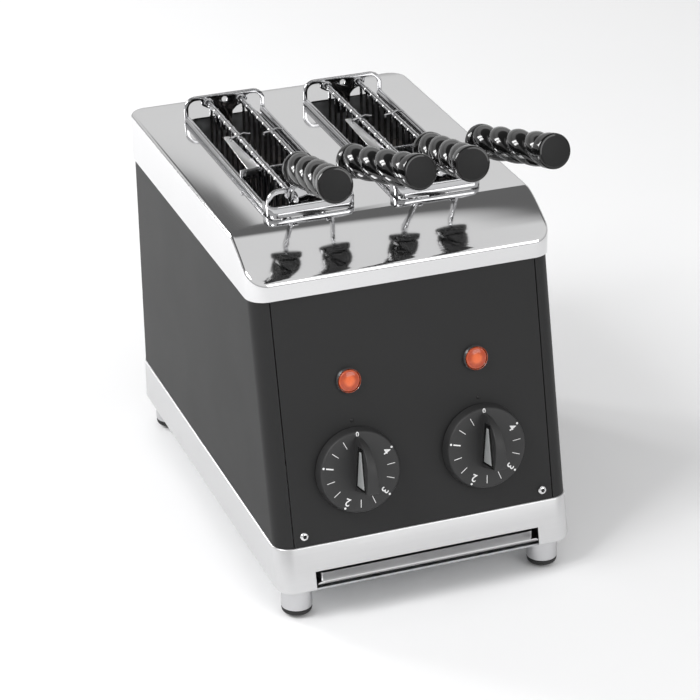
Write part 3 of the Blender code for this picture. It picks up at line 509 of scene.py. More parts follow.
finishes = {
    "satinSteel": brushedSteel("satinSteel", (0.66, 0.66, 0.665), 0.34, 0.05, 0),
    "leafSteel": brushedSteel("leafSteel", (0.86, 0.86, 0.86), 0.30, 0.05, 1),
    "polishedSteel": mirrorSteel("polishedSteel", (0.73, 0.73, 0.735), 0.075, 0.03),
    # polished chrome of the tongs, darkened in colour as painted shade for the dark surroundings it reflects
    "shadedChromeWire": mirrorSteel("shadedChromeWire", (0.52, 0.52, 0.53), 0.09, 0.04),
    "charcoalPaint": powderCoat("charcoalPaint", (0.0145, 0.0145, 0.0148), 0.54),
    "blackPlastic": moulded("blackPlastic", (0.020, 0.020, 0.0204), 0.52),
    "glossBlack": moulded("glossBlack", (0.002, 0.002, 0.002), 0.20, 900, 0.00001),
    "bakelite": moulded("bakelite", (0.003, 0.003, 0.003), 0.09, 240, 0.00001),
    "capBlack": moulded("capBlack", (0.008, 0.008, 0.0082), 0.55, 1200, 0.00003, Specular_IOR_Level=0.3),
    "blackRubber": moulded("blackRubber", (0.010, 0.010, 0.010), 0.62, 700, 0.00006),
    "greySleeve": brushedSteel("greySleeve", (0.58, 0.58, 0.59), 0.36, 0.05, 2),
    "whitePrint": moulded("whitePrint", (0.80, 0.80, 0.80), 0.55, 900, 0.00002),
    "whitePlastic": moulded("whitePlastic", (0.74, 0.73, 0.69), 0.45),
    "ceramic": moulded("ceramic", (0.70, 0.68, 0.62), 0.68, 500, 0.00008),
    "inlayMetal": moulded("inlayMetal", (0.40, 0.41, 0.41), 0.42, 1400, 0.00002, Metallic=0.25),
    "galvanised": spangledZinc("galvanised", (0.48, 0.49, 0.50), 0.40),
    "heatedSheath": heatedMetal("heatedSheath", (0.20, 0.18, 0.17), 0.50),
    "loomSleeve": wovenSleeve("loomSleeve", (0.28, 0.26, 0.22), 0.75),
    # near-black finish used as painted shade at the bottoms of the screws' sockets
    "paintedRecessShade": moulded("paintedRecessShade", (0.006, 0.006, 0.006), 0.6),
}
print("finishes made:", len(finishes))

halves = ("left_outer", "left_inner", "right_inner", "right_outer")
keptNodes = {
    "galvanised": ["base_plate", "panel_rail", "timer_shaft_left", "timer_shaft_right", "chamber_wall_front",
                   "chamber_wall_rear", "element_rack_front", "element_rack_rear"],
    "polishedSteel": ["reflector_left", "reflector_centre", "reflector_right"],
    "charcoalPaint": ["front_panel"],
    "whitePlastic": ["timer_left", "timer_right"],
    "heatedSheath": ["heating_element_" + half for half in halves],
    "ceramic": ["terminal_block"],
    "loomSleeve": ["wiring_loom_left", "wiring_loom_right"],
}
for finish, nodes in keptNodes.items():
    for node in nodes:
        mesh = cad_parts[node].data
        mesh.materials.clear()
        mesh.materials.append(finishes[finish])

# The lid, crowned at its front and open below
lid = {"half": 0.110, "front": -0.10735, "rear": 0.1845, "skirt": 0.2256, "lip": 0.2385, "crown": 0.0458,
       "corner": 0.0135, "sheet": 0.0012, "bend": 0.0026, "lipSlope": math.radians(33), "lipPull": 0.39,
       "flatPull": 0.22, "steps": 30, "slotHalf": 0.026, "slotFront": -0.0535, "slotRear": 0.1465,
       "slotCorner": 0.005, "cornerSteps": 14, "bendSteps": 5, "slotSteps": 8, "cutReach": 0.01}


def crownPoint(share):
    run = lid["crown"]
    start = Vector((lid["front"], lid["lip"]))
    end = Vector((lid["front"] + run, lidTop))
    pullStart = start + Vector((math.cos(lid["lipSlope"]), math.sin(lid["lipSlope"]))) * run * lid["lipPull"]
    pullEnd = end - Vector((run * lid["flatPull"], 0))
    rest = 1 - share
    return (start * rest ** 3 + pullStart * 3 * rest ** 2 * share + pullEnd * 3 * rest * share ** 2
            + end * share ** 3)


def crownHeight(y):
    if y >= lid["front"] + lid["crown"]:
        return lidTop
    low, high = 0.0, 1.0
    for _ in range(40):
        middle = (low + high) / 2
        low, high = (middle, high) if crownPoint(middle).x < y else (low, middle)
    return crownPoint(low).y


def makeLid():
    half, front, rear = lid["half"], lid["front"], lid["rear"]
    cover = startSlab("topCover", (-half, front, lid["skirt"]), (half, rear, lidTop), lid["corner"],
                      lid["cornerSteps"])
    pick(cover, "FACE", lambda f: f.normal.z > 0.9)
    insets = [0.0]
    for k in range(1, lid["bendSteps"] + 1):
        angle = math.pi / 2 * k / lid["bendSteps"]
        insets.append(lid["bend"] * (1 - math.cos(angle)))
        bpy.ops.mesh.inset(thickness=insets[k] - insets[k - 1], depth=0, use_even_offset=True)
    stations = [crownPoint(i / lid["steps"]).x for i in range(1, lid["steps"] + 1)]
    for y in stations:
        pickAll()
        bpy.ops.mesh.bisect(plane_co=(0, y, 0), plane_no=(0, 1, 0), use_fill=False)
    mesh = bmesh.from_edit_mesh(cover.data)
    for vert in mesh.verts:                    # the top follows the crown and rounds over at its rim
        if vert.co.z > lidTop - weldReach:
            inside = min(half - abs(vert.co.x), vert.co.y - front, rear - vert.co.y)
            corner = lid["corner"]
            fromX, fromY = half - corner - abs(vert.co.x), min(vert.co.y - front, rear - vert.co.y) - corner
            if fromX < 0 and fromY < 0:
                inside = corner - math.hypot(fromX, fromY)
            depth = lid["bend"] - max(0.0, min(inside, lid["bend"]))
            drop = lid["bend"] - math.sqrt(max(lid["bend"] ** 2 - depth ** 2, 0))
            vert.co.z = crownHeight(vert.co.y) - drop
    bmesh.update_edit_mesh(cover.data)
    pick(cover, "FACE", lambda f: f.normal.z < -0.9)
    bpy.ops.mesh.delete(type="FACE")
    leave()
    modify(cover, "SOLIDIFY", thickness=lid["sheet"], offset=-1, use_even_offset=True)
    for side in (-1, 1):
        x, reach = side * slotMiddle, lid["cutReach"]
        slot = startSlab("slot", (x - lid["slotHalf"], lid["slotFront"], lidTop - reach),
                         (x + lid["slotHalf"], lid["slotRear"], lidTop + reach), lid["slotCorner"],
                         lid["slotSteps"])
        leave()
        carve(cover, slot)
    finishPiece(cover, "polishedSteel", "housing", ["top_cover"], 40)


makeLid()
print("lid made")

# The painted wrap and the steel base: plans at the base's lower edge, fronts leaning back
casing = {"wrapHalf": 0.1085, "front": -0.151698, "wrapRear": 0.183, "wrapLow": 0.0563, "wrapHigh": 0.2336,
          "corner": 0.012, "sheet": 0.0012, "baseHalf": 0.1093, "baseFront": -0.152498, "baseRear": 0.1838,
          "baseLow": 0.0236, "baseHigh": 0.056, "baseWall": 0.0015, "shelf": 0.013, "notchHalf": 0.083,
          "notchTop": 0.0376, "ventPitch": 0.012, "vents": 7, "ventTop": 0.2158, "ventHeight": 0.032,
          "ventWidth": 0.0035, "glandX": 0.060, "glandZ": 0.080, "glandHole": 0.0078, "cornerSteps": 12,
          "lowRound": 0.0026, "highRound": 0.0009, "windowBack": 0.0074, "windowCorner": 0.004,
          "notchDepth": 0.0155, "cutReach": 0.01, "cutPast": 0.004, "openFace": 0.01}
slope = math.tan(panelLean)


# The front leans back, from a height where the plan is as drawn
def leanFront(piece, level):
    heights = sorted({round(v.co.z, 6) for v in piece.data.vertices})
    for height in heights:
        pick(piece, "VERT", lambda v: v.co.y < 0 and abs(v.co.z - height) < weldReach)
        bpy.ops.transform.translate(value=(0, (height - level) * slope, 0))


def makeWrap():
    c = casing
    half = c["wrapHalf"]
    wrap = startSlab("bodyWrap", (-half, c["front"], c["wrapLow"]), (half, c["wrapRear"], c["wrapHigh"]),
                     c["corner"], c["cornerSteps"])
    wrap.update_from_editmode()
    leanFront(wrap, c["baseLow"])
    pick(wrap, "FACE",
         lambda f: abs(f.normal.z) > 0.9 or (f.normal.y < -0.9 and f.calc_area() > c["openFace"]))
    bpy.ops.mesh.delete(type="FACE")
    leave()
    modify(wrap, "SOLIDIFY", thickness=c["sheet"], offset=-1, use_even_offset=True)
    reach = c["cutReach"]
    for i in range(c["vents"]):
        x = (i - (c["vents"] - 1) / 2) * c["ventPitch"]
        vent = startSlab("vent", (x - c["ventWidth"] / 2, c["ventTop"] - c["ventHeight"], -reach),
                         (x + c["ventWidth"] / 2, c["ventTop"], reach), c["ventWidth"] * 0.49, 6)
        leave()
        place(vent, shift(0, c["wrapRear"], 0) @ zForward)
        carve(wrap, vent)
    hole = turnPiece("glandHole", [(c["glandHole"], -reach), (c["glandHole"], reach)], 40)
    place(hole, shift(c["glandX"], c["wrapRear"], c["glandZ"]) @ zForward)
    carve(wrap, hole)
    finishPiece(wrap, "charcoalPaint", "housing", ["body_wrap"])


def makeBase():
    c = casing
    half, front, rear, low, high = (c["base" + end] for end in ("Half", "Front", "Rear", "Low", "High"))
    radius = c["corner"] + half - c["wrapHalf"]
    base = startSlab("baseFrame", (-half, front, low), (half, rear, high), radius, c["cornerSteps"])
    base.update_from_editmode()
    leanFront(base, low)
    roundRim(base, lambda f: f.normal.z < -0.9, c["lowRound"], 4)
    roundRim(base, lambda f: f.normal.z > 0.9, c["highRound"], 3)
    leave()
    wall, shelf, past, reach = c["baseWall"], c["shelf"], c["cutPast"], c["cutReach"]
    inside = startSlab("inside", (wall - half, front + wall / math.cos(panelLean), low - past),
                       (half - wall, rear - wall, high - wall), radius - wall, c["cornerSteps"])
    inside.update_from_editmode()
    leanFront(inside, low)
    leave()
    carve(base, inside)
    window = startSlab("window", (shelf - half, front + shelf + c["windowBack"], high - reach),
                       (half - shelf, rear - shelf, high + reach), c["windowCorner"], 4)
    leave()
    carve(base, window)
    notch = startBlock("notch", (-c["notchHalf"], front - past, low - past),
                       (c["notchHalf"], front + c["notchDepth"], c["notchTop"]))
    carve(base, notch)
    finishPiece(base, "satinSteel", "housing", ["base_frame"])


makeWrap()
makeBase()
print("wrap and base made")

# A steel sleeve with its stud, and a rubber pad, at each corner
foot = {"radius": 0.0110, "top": 0.0298, "seat": 0.0233, "stud": 0.0025, "low": 0.0063, "padTop": 0.0060,
        "domeRings": 7, "domeWide": 0.97, "domeHigh": 0.72, "restShare": 0.16}
footPlaces = {"front_left": (-0.0925, -0.135), "front_right": (0.0925, -0.135), "rear_left": (-0.0925, 0.167),
              "rear_right": (0.0925, 0.167)}


def makeFeet():
    r, low, seat = foot["radius"], foot["low"], foot["seat"]
    sleeveForm = turnPiece("sleeveForm", [(r * 0.93, low), (r * 0.99, low + 0.0004), (r, low + 0.0012),
                                          (r * 0.985, seat - 0.0012), (r * 0.95, seat - 0.0003),
                                          (r * 0.90, seat), (foot["stud"], seat),
                                          (foot["stud"], foot["top"] - 0.0004),
                                          (foot["stud"] * 0.85, foot["top"])], 48)
    top, count = foot["padTop"], foot["domeRings"]
    dome = [(r * foot["domeWide"] * math.sqrt(max(1 - (1 - k / count) ** 2, foot["restShare"])),
             top * foot["domeHigh"] * k / count) for k in range(count + 1)]
    padForm = turnPiece("padForm", dome + [(r * 0.985, top * 0.86), (r * 0.93, top)], 48)
    for name, (x, y) in footPlaces.items():
        tag = name.title().replace("_", "")
        sleeve = copyOf(sleeveForm, "footSleeve" + tag, shift(x, y, 0))
        finishPiece(sleeve, "greySleeve", "housing", ["foot_sleeve_" + name])
        pad = copyOf(padForm, "footPad" + tag, shift(x, y, 0))
        finishPiece(pad, "blackRubber", "housing", ["foot_pad_" + name], 50)
    discard(sleeveForm, padForm)


makeFeet()
print("feet made")

# The crumb tray, and the lip that it is pulled by
tray = {"half": 0.079, "front": -0.149271, "rear": 0.1498, "low": 0.0280, "high": 0.0356, "sheet": 0.0008,
        "lipHalf": 0.082, "lipReach": 0.0070, "lipRise": 0.0052, "chamfer": 0.0035,
        "corner": 0.002, "floorRound": 0.0014, "lipRound": 0.004, "lipFlat": 0.35, "cut": 0.01}


def makeTray():
    t = tray
    pan = startSlab("crumbTray", (-t["half"], t["front"], t["low"]), (t["half"], t["rear"], t["high"]),
                    t["corner"], 4)
    roundRim(pan, lambda f: f.normal.z < -0.9, t["floorRound"], 3)
    pick(pan, "FACE", lambda f: f.normal.z > 0.9)
    bpy.ops.mesh.delete(type="FACE")
    leave()
    modify(pan, "SOLIDIFY", thickness=t["sheet"], offset=-1, use_even_offset=True)
    low, reach, sheet = t["low"], t["lipReach"], t["sheet"]
    front, high = t["front"] + sheet / 2, low + t["lipRise"]
    outer = roundedPath([(front, low + sheet / 2, 0), (front - reach * t["lipFlat"], low + sheet / 2, 0),
                         (front - reach, high - sheet / 2, 0)], t["lipRound"], 6)
    lip = cutSheet("lip", stripAlong(outer, sheet), 2 * t["lipHalf"])
    place(lip, acrossX(t["lipHalf"]))
    for side in (-1, 1):
        x, y, cut, chamfer = side * t["lipHalf"], front - reach, t["cut"], t["chamfer"]
        clip = cutSheet("clip", [(x, y + chamfer), (x + side * cut, y + chamfer), (x + side * cut, y - cut),
                                 (x - side * chamfer, y - cut), (x - side * chamfer, y)], 3 * cut)
        place(clip, shift(0, 0, low - cut))
        carve(lip, clip)
    carve(pan, lip, "UNION")
    finishPiece(pan, "satinSteel", "crumb_tray", ["crumb_tray"], 30)


makeTray()
print("tray made")

# Lamps, screws and the raised dots over the knobs, in the panel's space
lamp = {"up": 0.1110, "ring": 0.0093, "inner": 0.0080, "barrel": 0.0071, "height": 0.0034, "back": -0.026,
        "lens": 0.0075, "dome": 0.0042, "rim": 0.0026, "wall": 0.001, "seam": 0.0003,
        "rings": (12, 24, 36, 48, 60, 70, 78, 85), "amber": (0.85, 0.16, 0.05)}
screw = {"x": 0.0884, "up": 0.0074, "head": 0.0031, "height": 0.0020, "shank": 0.0017, "length": 0.0065,
         "socket": 0.0014, "depth": 0.0013, "shade": 0.0003, "turn": 0.4}
raisedDot = {"up": 0.0825, "outline": [(0.0014, -0.0006), (0.0014, 0.0001), (0.0012, 0.0004),
                                       (0.0007, 0.0006)]}


def makeLampsAndScrews():
    p = lamp
    for name, side in sides.items():
        tag = name.title()
        at = panelSpace @ shift(side * slotMiddle, p["up"], 0)
        barrel, bore, rim, inner = p["barrel"], p["barrel"] - p["wall"], p["ring"], p["inner"]
        ring = turnPiece("lampRing" + tag, [
            (bore, p["back"]), (barrel, p["back"]), (barrel, p["seam"]), (rim - 0.0003, p["seam"]),
            (rim, 0.0008), (rim - 0.0001, 0.0016), (rim - 0.0006, 0.0026), (inner + 0.0003, p["height"]),
            (inner, p["height"] - 0.0004), (inner - 0.0002, 0.0010), (bore, 0.0006)], 64, closed=True)
        place(ring, at)
        finishPiece(ring, "polishedSteel", "housing", ["pilot_lamp_" + name], 40)
        dome = [(p["lens"] * math.cos(angle), p["rim"] + (p["dome"] - p["rim"]) * math.sin(angle))
                for angle in map(math.radians, p["rings"])]
        lens = turnPiece("lampLens" + tag, [(barrel - 0.0012, -0.0012), (barrel - 0.0012, 0.0008),
                                            (p["lens"] - 0.0003, 0.0012), (p["lens"], p["rim"])] + dome, 64)
        place(lens, at)
        centre = at @ Vector((0, 0, 0.003))
        amber = "amberLens" + tag
        finishes[amber] = lampLens(amber, p["amber"], centre)
        finishPiece(lens, amber, "housing", ["pilot_lens_" + name], 40)

        s = screw
        shank, wide, high, hole = s["shank"], s["head"], s["height"], s["socket"]
        head = turnPiece("panelScrew" + tag, [(shank * 0.6, -s["length"]), (shank, 0.001 - s["length"]),
                                              (shank, 0.0003), (wide, 0.0003), (wide + 0.0001, 0.0007),
                                              (wide * 0.93, 0.0013), (wide * 0.78, 0.0018),
                                              (wide * 0.55, high + 0.0001), (wide * 0.3, high + 0.0002)], 40)
        bottom, turned = high - s["depth"], Matrix.Rotation(s["turn"] * side, 4, "Z")
        socket = turnPiece("socket", [(hole * 0.55, bottom), (hole * 0.8, bottom + 0.0004),
                                      (hole, high - 0.0003), (hole * 1.15, high + 0.001)], 6)
        place(socket, turned)
        carve(head, socket)
        screwAt = panelSpace @ shift(side * s["x"], s["up"], 0)
        place(head, screwAt)
        finishPiece(head, "polishedSteel", "housing", ["panel_screw_" + name], 40)

        # a dark piece at the bottom of each screw's socket: painted shade in the recess
        shade = turnPiece("screwSocket" + tag, [
            (hole * 0.84, bottom - s["shade"]), (hole * 0.84, bottom + s["shade"]),
            (hole * 0.5, bottom + 2 * s["shade"])], 6)
        place(shade, screwAt @ turned)
        finishPiece(shade, "paintedRecessShade", "housing")

        dot = turnPiece("raisedDot" + tag, raisedDot["outline"], 24)
        place(dot, panelSpace @ shift(side * slotMiddle, raisedDot["up"], 0))
        finishPiece(dot, "charcoalPaint", "housing", (), 50)


makeLampsAndScrews()
print("lamps and screws made")

# Knobs, in their own space: x, up the slope, out of the panel, from the axis on the panel's face
knob = {"up": 0.0480, "foot": 0.0008, "top": 0.0093, "radius": 0.0300, "topRadius": 0.0285, "hollow": 0.0115,
        "hollowTop": 0.0058, "round": 0.0013, "bore": 0.0034}
# along the grip: place up from the axis, half width, height above the skirt
gripStations = [(-0.0103, 0.0047, 0.0226), (-0.0040, 0.0043, 0.0248), (0.0020, 0.0040, 0.0256),
                (0.0080, 0.0035, 0.0252), (0.0130, 0.0031, 0.0234), (0.0177, 0.0027, 0.0202),
                (0.0210, 0.0024, 0.0160), (0.0232, 0.0020, 0.0112), (0.0247, 0.0013, 0.0070),
                (0.0255, 0.0007, 0.0040)]
gripTail = {"up": -0.0132, "half": 0.0049, "sink": 0.0012, "draft": 0.96, "round": 0.0009}
inlay = {"top": 0.0170, "bottom": -0.0080, "middle": 0.0106, "noseHeight": 0.0030, "height": 0.0134,
         "thick": 0.0010, "proud": 0.0002, "round": 0.0003}
gripPlate = {"top": 0.0200, "bottom": -0.0098, "noseHeight": 0.0100, "height": 0.0200, "depth": 0.0004,
             "seam": 0.0001, "thick": 0.0009, "cut": 0.003}
dial = {"radius": 0.0224, "size": 0.0076, "zeroSize": 0.0046, "tickFrom": 0.0194, "tickTo": 0.0252,
        "tickWidth": 0.00045, "dotRadius": 0.0272, "dot": 0.0008, "thick": 0.00012, "sink": 0.00004,
        "zeroRadius": 0.0266, "bold": 0.00009, "figures": 5, "apart": 75, "ticks": (25, 50)}


def gripHalf(up):
    points = [(gripTail["up"], gripTail["half"])] + [(u, half) for u, half, _ in gripStations]
    for (u0, w0), (u1, w1) in zip(points, points[1:]):
        if up <= u1:
            return w0 + (w1 - w0) * max((up - u0) / (u1 - u0), 0)
    return points[-1][1]


def loft(name, sections):
    piece = drawChain(name, sections[0], closed=True)
    previous = [Vector(p) for p in sections[0]]
    for section in sections[1:]:
        bpy.ops.mesh.extrude_region()
        mesh = bmesh.from_edit_mesh(piece.data)
        for vert in [v for v in mesh.verts if v.select]:
            index = min(range(len(previous)), key=lambda i: (previous[i] - vert.co).length)
            vert.co = section[index]
        bmesh.update_edit_mesh(piece.data)
        previous = [Vector(p) for p in section]
    faceOut()
    leave()
    return piece


def makeGrip():
    tail, top = gripTail, knob["top"]
    low = top - tail["sink"]
    up, half, height = gripStations[0]
    sections = [[(-tail["half"], tail["up"], low), (tail["half"], tail["up"], low), (half, up, top + height),
                 (-half, up, top + height)]]
    for up, half, height in gripStations[1:]:
        upper = half * tail["draft"]
        sections.append([(-half, up, low), (half, up, low), (upper, up, top + height),
                         (-upper, up, top + height)])
    grip = loft("grip", sections)
    soften(grip, tail["round"], 3, 48)
    return grip


def dialMarks():
    d = dial
    marks, height, half = [], knob["top"] - d["sink"], d["tickWidth"] / 2
    for index in range(d["figures"]):
        size, radius = (d["size"], d["radius"]) if index else (d["zeroSize"], d["zeroRadius"])
        deselect()
        bpy.ops.object.text_add()
        text = bpy.context.object
        for key, value in (("body", str(index)), ("align_x", "CENTER"), ("align_y", "CENTER"), ("size", size),
                           ("extrude", d["thick"] / 2), ("offset", d["bold"])):
            setattr(text.data, key, value)
        bpy.ops.object.convert(target="MESH")
        figure = bpy.context.object
        angle = math.radians(d["apart"] * index)
        turned = Matrix.Rotation(angle, 4, "Z")
        place(figure, turned @ shift(0, radius, height + d["thick"] / 2))
        marks.append(figure)
        if index:
            dot = turnPiece("dot", [(d["dot"], 0), (d["dot"] * 0.96, d["thick"])], 20)
            place(dot, turned @ shift(0, d["dotRadius"], height))
            marks.append(dot)
        for step in d["ticks"] if index < d["figures"] - 1 else ():
            tick = startSlab("tick", (-half, d["tickFrom"], height), (half, d["tickTo"], height + d["thick"]),
                             half * 0.8, 2)
            leave()
            place(tick, Matrix.Rotation(angle + math.radians(step), 4, "Z"))
            marks.append(tick)
    return joinAll(marks, "dialMarks")


def makeKnobs():
    k = knob
    foot, top, wide, upper, curve = k["foot"], k["top"], k["radius"], k["topRadius"], k["round"]
    skirt = turnPiece("knobForm", [
        (k["bore"], k["hollowTop"]), (k["hollow"], k["hollowTop"]), (k["hollow"], foot),
        (wide - 0.0005, foot), (wide, foot + 0.0006), (upper + 0.0003, top - curve),
        (upper - 0.0001, top - curve * 0.45),
        (upper - 0.0006, top - curve * 0.12), (upper - 0.0013, top), (0.014, top), (0.004, top)], 120)
    grip = makeGrip()
    carve(skirt, grip, "UNION")
    middle = top + inlay["middle"]

    # outer and inner are measured from the grip's left flank
    def flankPlate(name, form, grow, outer, inner):
        low, high, nose, broad = form["bottom"], form["top"], form["noseHeight"] / 2, form["height"] / 2
        points = [(low - grow, -broad - grow), (high + grow, -nose - grow), (high + grow, nose + grow),
                  (low - grow, broad + grow)]
        sections = [[(-gripHalf(u) - away, u, middle + h) for u, h in points] for away in (outer, -inner)]
        return loft(name, sections)

    seam = gripPlate["seam"]
    carve(skirt, flankPlate("recess", gripPlate, 0, gripPlate["cut"], gripPlate["depth"]))
    plateForm = flankPlate("plateForm", gripPlate, -seam, -seam, gripPlate["thick"])
    inlayForm = flankPlate("inlayForm", inlay, 0, inlay["proud"], inlay["thick"])
    soften(inlayForm, inlay["round"], 2, 40)
    marksForm = dialMarks()
    for name, side in sides.items():
        tag = name.title()
        at = panelSpace @ shift(side * slotMiddle, k["up"], 0)
        body = "knob_" + name
        finishPiece(copyOf(skirt, "knob" + tag, at), "blackPlastic", body,
                    ["knob_" + name], 30)
        finishPiece(copyOf(plateForm, "gripPlate" + tag, at), "glossBlack", body)
        finishPiece(copyOf(inlayForm, "gripInlay" + tag, at), "inlayMetal", body,
                    ["knob_inlay_" + name])
        finishPiece(copyOf(marksForm, "dialMarks" + tag, at), "whitePrint", body)
    discard(skirt, plateForm, inlayForm, marksForm)


makeKnobs()
print("knobs made")

# The cord's inlet at the back
gland = {"x": 0.060, "z": 0.080, "face": 0.1833, "flange": 0.0100, "out": 0.0035, "neck": 0.0075,
         "bore": 0.0040, "in": -0.0137, "edge": 0.0005}


def makeGland():
    g = gland
    bore, neck, flange, out, edge = g["bore"], g["neck"], g["flange"], g["out"], g["edge"]
    form = turnPiece("cordGland", [(bore, g["in"]), (neck - edge, g["in"]), (neck, g["in"] + 0.0006),
                                   (neck, 0), (flange - 0.0003, 0), (flange, edge), (flange, 0.0014),
                                   (flange * 0.93, 0.0026), (flange * 0.74, out), (bore + 2 * edge, out),
                                   (bore + 0.0002, out - edge), (bore, out - 0.0014)], 56, closed=True)
    place(form, shift(g["x"], g["face"], g["z"]) @ zBack)
    finishPiece(form, "capBlack", "housing", ["cord_gland"], 40)


makeGland()
print("gland made")

# Tongs, in the space of one pair: x from the slot's middle, z up from the lid
tong = {"railOffset": 0.0290, "railRadius": 0.00225, "railZ": 0.00255, "frontBand": -0.0560,
        "bandLeg": 0.0155, "bandHeight": 0.0085, "bandLow": 0.0006, "bandThick": 0.0016, "bandCorner": 0.0062,
        "bandHalf": 0.03155, "hoopFront": -0.048504, "hoopRear": 0.1415, "hoopThick": 0.0020,
        "hoopHalf": 0.0312, "hoopTop": 0.0190, "hoopStrip": 0.0030, "hoopCorner": 0.0090, "eyeHalf": 0.0178,
        "eyeLow": 0.0075, "tongue": 0.0060, "tongueDrop": 0.0100, "pinHole": 0.0022, "pinUp": 0.0145,
        "rodOffset": 0.0125, "rodUp": 0.0130, "rodRadius": 0.0020, "bridgeY": 0.01507, "bridgeThick": 0.0016,
        "bridgeTop": 0.0100, "bridgeLow": 0.0025, "leafMiddle": -0.01965, "leafHalf": 0.00475,
        "leafTip": 0.00214, "leafFront": 0.01347, "leafLength": 0.063, "leafThick": 0.0009, "railIn": 0.0066,
        "railTip": 0.0006, "railShort": 0.0079, "rimFrom": 0.0003, "frontFoot": 0.0051, "rearFoot": 0.0003,
        "bandRound": 0.0005, "leafGap": 0.0003, "leafRound": 0.001, "holeGap": 0.0003}
wires = {"count": 15, "first": -0.041504, "last": 0.1345, "radius": 0.0011, "drop": 0.118, "bar": 0.0016,
         "barPast": 0.003, "rodFront": -0.058004, "rodBack": 0.1460, "weld": 0.0026, "rodTip": 0.0006,
         "clipAfter": 8, "clip": [(0.0084, 0.0046, 0.0006), (0.0078, 0.0012, 0.0016)], "clipAbove": 0.0006,
         "clipRound": 0.0012, "clipRadius": 0.0008}


def wireAt(index):
    return wires["first"] + (wires["last"] - wires["first"]) * index / (wires["count"] - 1)


def frameForm():
    t = tong
    radius, tip, front = t["railRadius"], t["railTip"], t["frontBand"]
    length = t["hoopRear"] - front - t["railShort"]
    rails = []
    for side in (-1, 1):
        rail = turnPiece("rail", [(radius * 0.75, 0), (radius, tip), (radius, length - tip),
                                  (radius * 0.75, length)], 24)
        place(rail, shift(side * t["railOffset"], front + t["railIn"], t["railZ"]) @ zBack)
        rails.append(rail)
    inset = t["bandThick"] / 2
    half, near, back = t["bandHalf"] - inset, front + inset, front + t["bandLeg"]
    path = roundedPath([(-half, back, 0), (-half, near, 0), (half, near, 0), (half, back, 0)],
                       t["bandCorner"] - inset, 8)
    band = drawChain("band", path)
    pickAll()
    extrudeUp(t["bandHeight"])
    pickAll()
    bpy.ops.transform.translate(value=(0, 0, t["bandLow"]))
    leave()
    modify(band, "SOLIDIFY", thickness=t["bandThick"], offset=0, use_even_offset=True)
    soften(band, t["bandRound"], 2, 50)
    y, reach, thin = t["bridgeY"], t["railOffset"] + 0.0002, t["bridgeThick"] / 2
    low, top = t["bridgeLow"], t["bridgeTop"]
    folded = [(y - thin, low), (y + thin, low), (y + thin, top - 2 * thin), (y + 0.0007, top - 0.0002),
              (y - 0.0001, top), (y - thin, top - 0.0002)]
    bridge = cutSheet("bridge", folded, 2 * reach, 0.0002)
    place(bridge, acrossX(reach))
    form = rails[0]
    for other in (rails[1], band, bridge):
        carve(form, other, "UNION")
    return named(form, "frameForm")


def hoopForm(foot):
    t = tong
    half, top, strip, corner = t["hoopHalf"], t["hoopTop"], t["hoopStrip"], t["hoopCorner"]
    outer = roundedPath([(half, foot, 0), (half, top, 0), (-half, top, 0), (-half, foot, 0)], corner, 10)
    inHalf, inTop, eye = half - strip, top - strip, t["eyeHalf"]
    leftIn = roundedPath([(-inHalf, foot, 0), (-inHalf, inTop, 0), (-eye, inTop, 0),
                          (-eye, t["eyeLow"] + 0.004, 0), (-t["tongue"] - 0.003, t["eyeLow"], 0),
                          (-t["tongue"], t["eyeLow"] - 0.003, 0), (-t["tongue"] * 0.8, -t["tongueDrop"], 0)],
                         [0, corner - strip, 0.0015, 0.003, 0.002, 0.002, 0], 6)
    inner = [(p.x, p.y) for p in leftIn]
    outline = [(p.x, p.y) for p in outer] + inner + [(-x, y) for x, y in reversed(inner)]
    holes = [(side * t["rodOffset"], t["rodUp"], t["rodRadius"] + t["holeGap"]) for side in (-1, 1)]
    holes.append((0, t["pinUp"], t["pinHole"]))
    form = cutSheet("hoopForm", outline, t["hoopThick"], 0.0004, holes)
    place(form, shift(0, t["hoopThick"] / 2, 0) @ zForward)
    rod = t["rodRadius"]
    for side in (-1, 1):                       # pressed rims round the eyes of the rods
        for face in (-1, 1):
            rim = turnPiece("rim", [(rod + 0.0004, 0), (rod + 0.0018, 0), (rod + 0.0016, 0.0011),
                                    (rod + 0.0011, 0.0014), (rod + 0.0006, 0.0011)], 32, closed=True)
            place(rim, shift(side * t["rodOffset"], face * (t["hoopThick"] / 2 - t["rimFrom"]), t["rodUp"])
                  @ Matrix.Rotation(-face * math.pi / 2, 4, "X"))
            carve(form, rim, "UNION")
    return form


def leafForm():
    t = tong
    half, front, tip, wide = t["leafHalf"], t["leafFront"], t["leafTip"], t["leafRound"]
    back = front + t["leafLength"]
    outline = roundedPath([(-half, front, 0), (half, front, 0), (tip, back, 0), (-tip, back, 0)],
                          [wide, wide, tip * 0.8, tip * 0.8], 5, closed=True)
    form = cutSheet("leafForm", [(p.x, p.y) for p in outline], t["leafThick"], 0.0002)
    place(form, shift(t["leafMiddle"], 0, t["bridgeTop"] + t["leafGap"]))
    return form


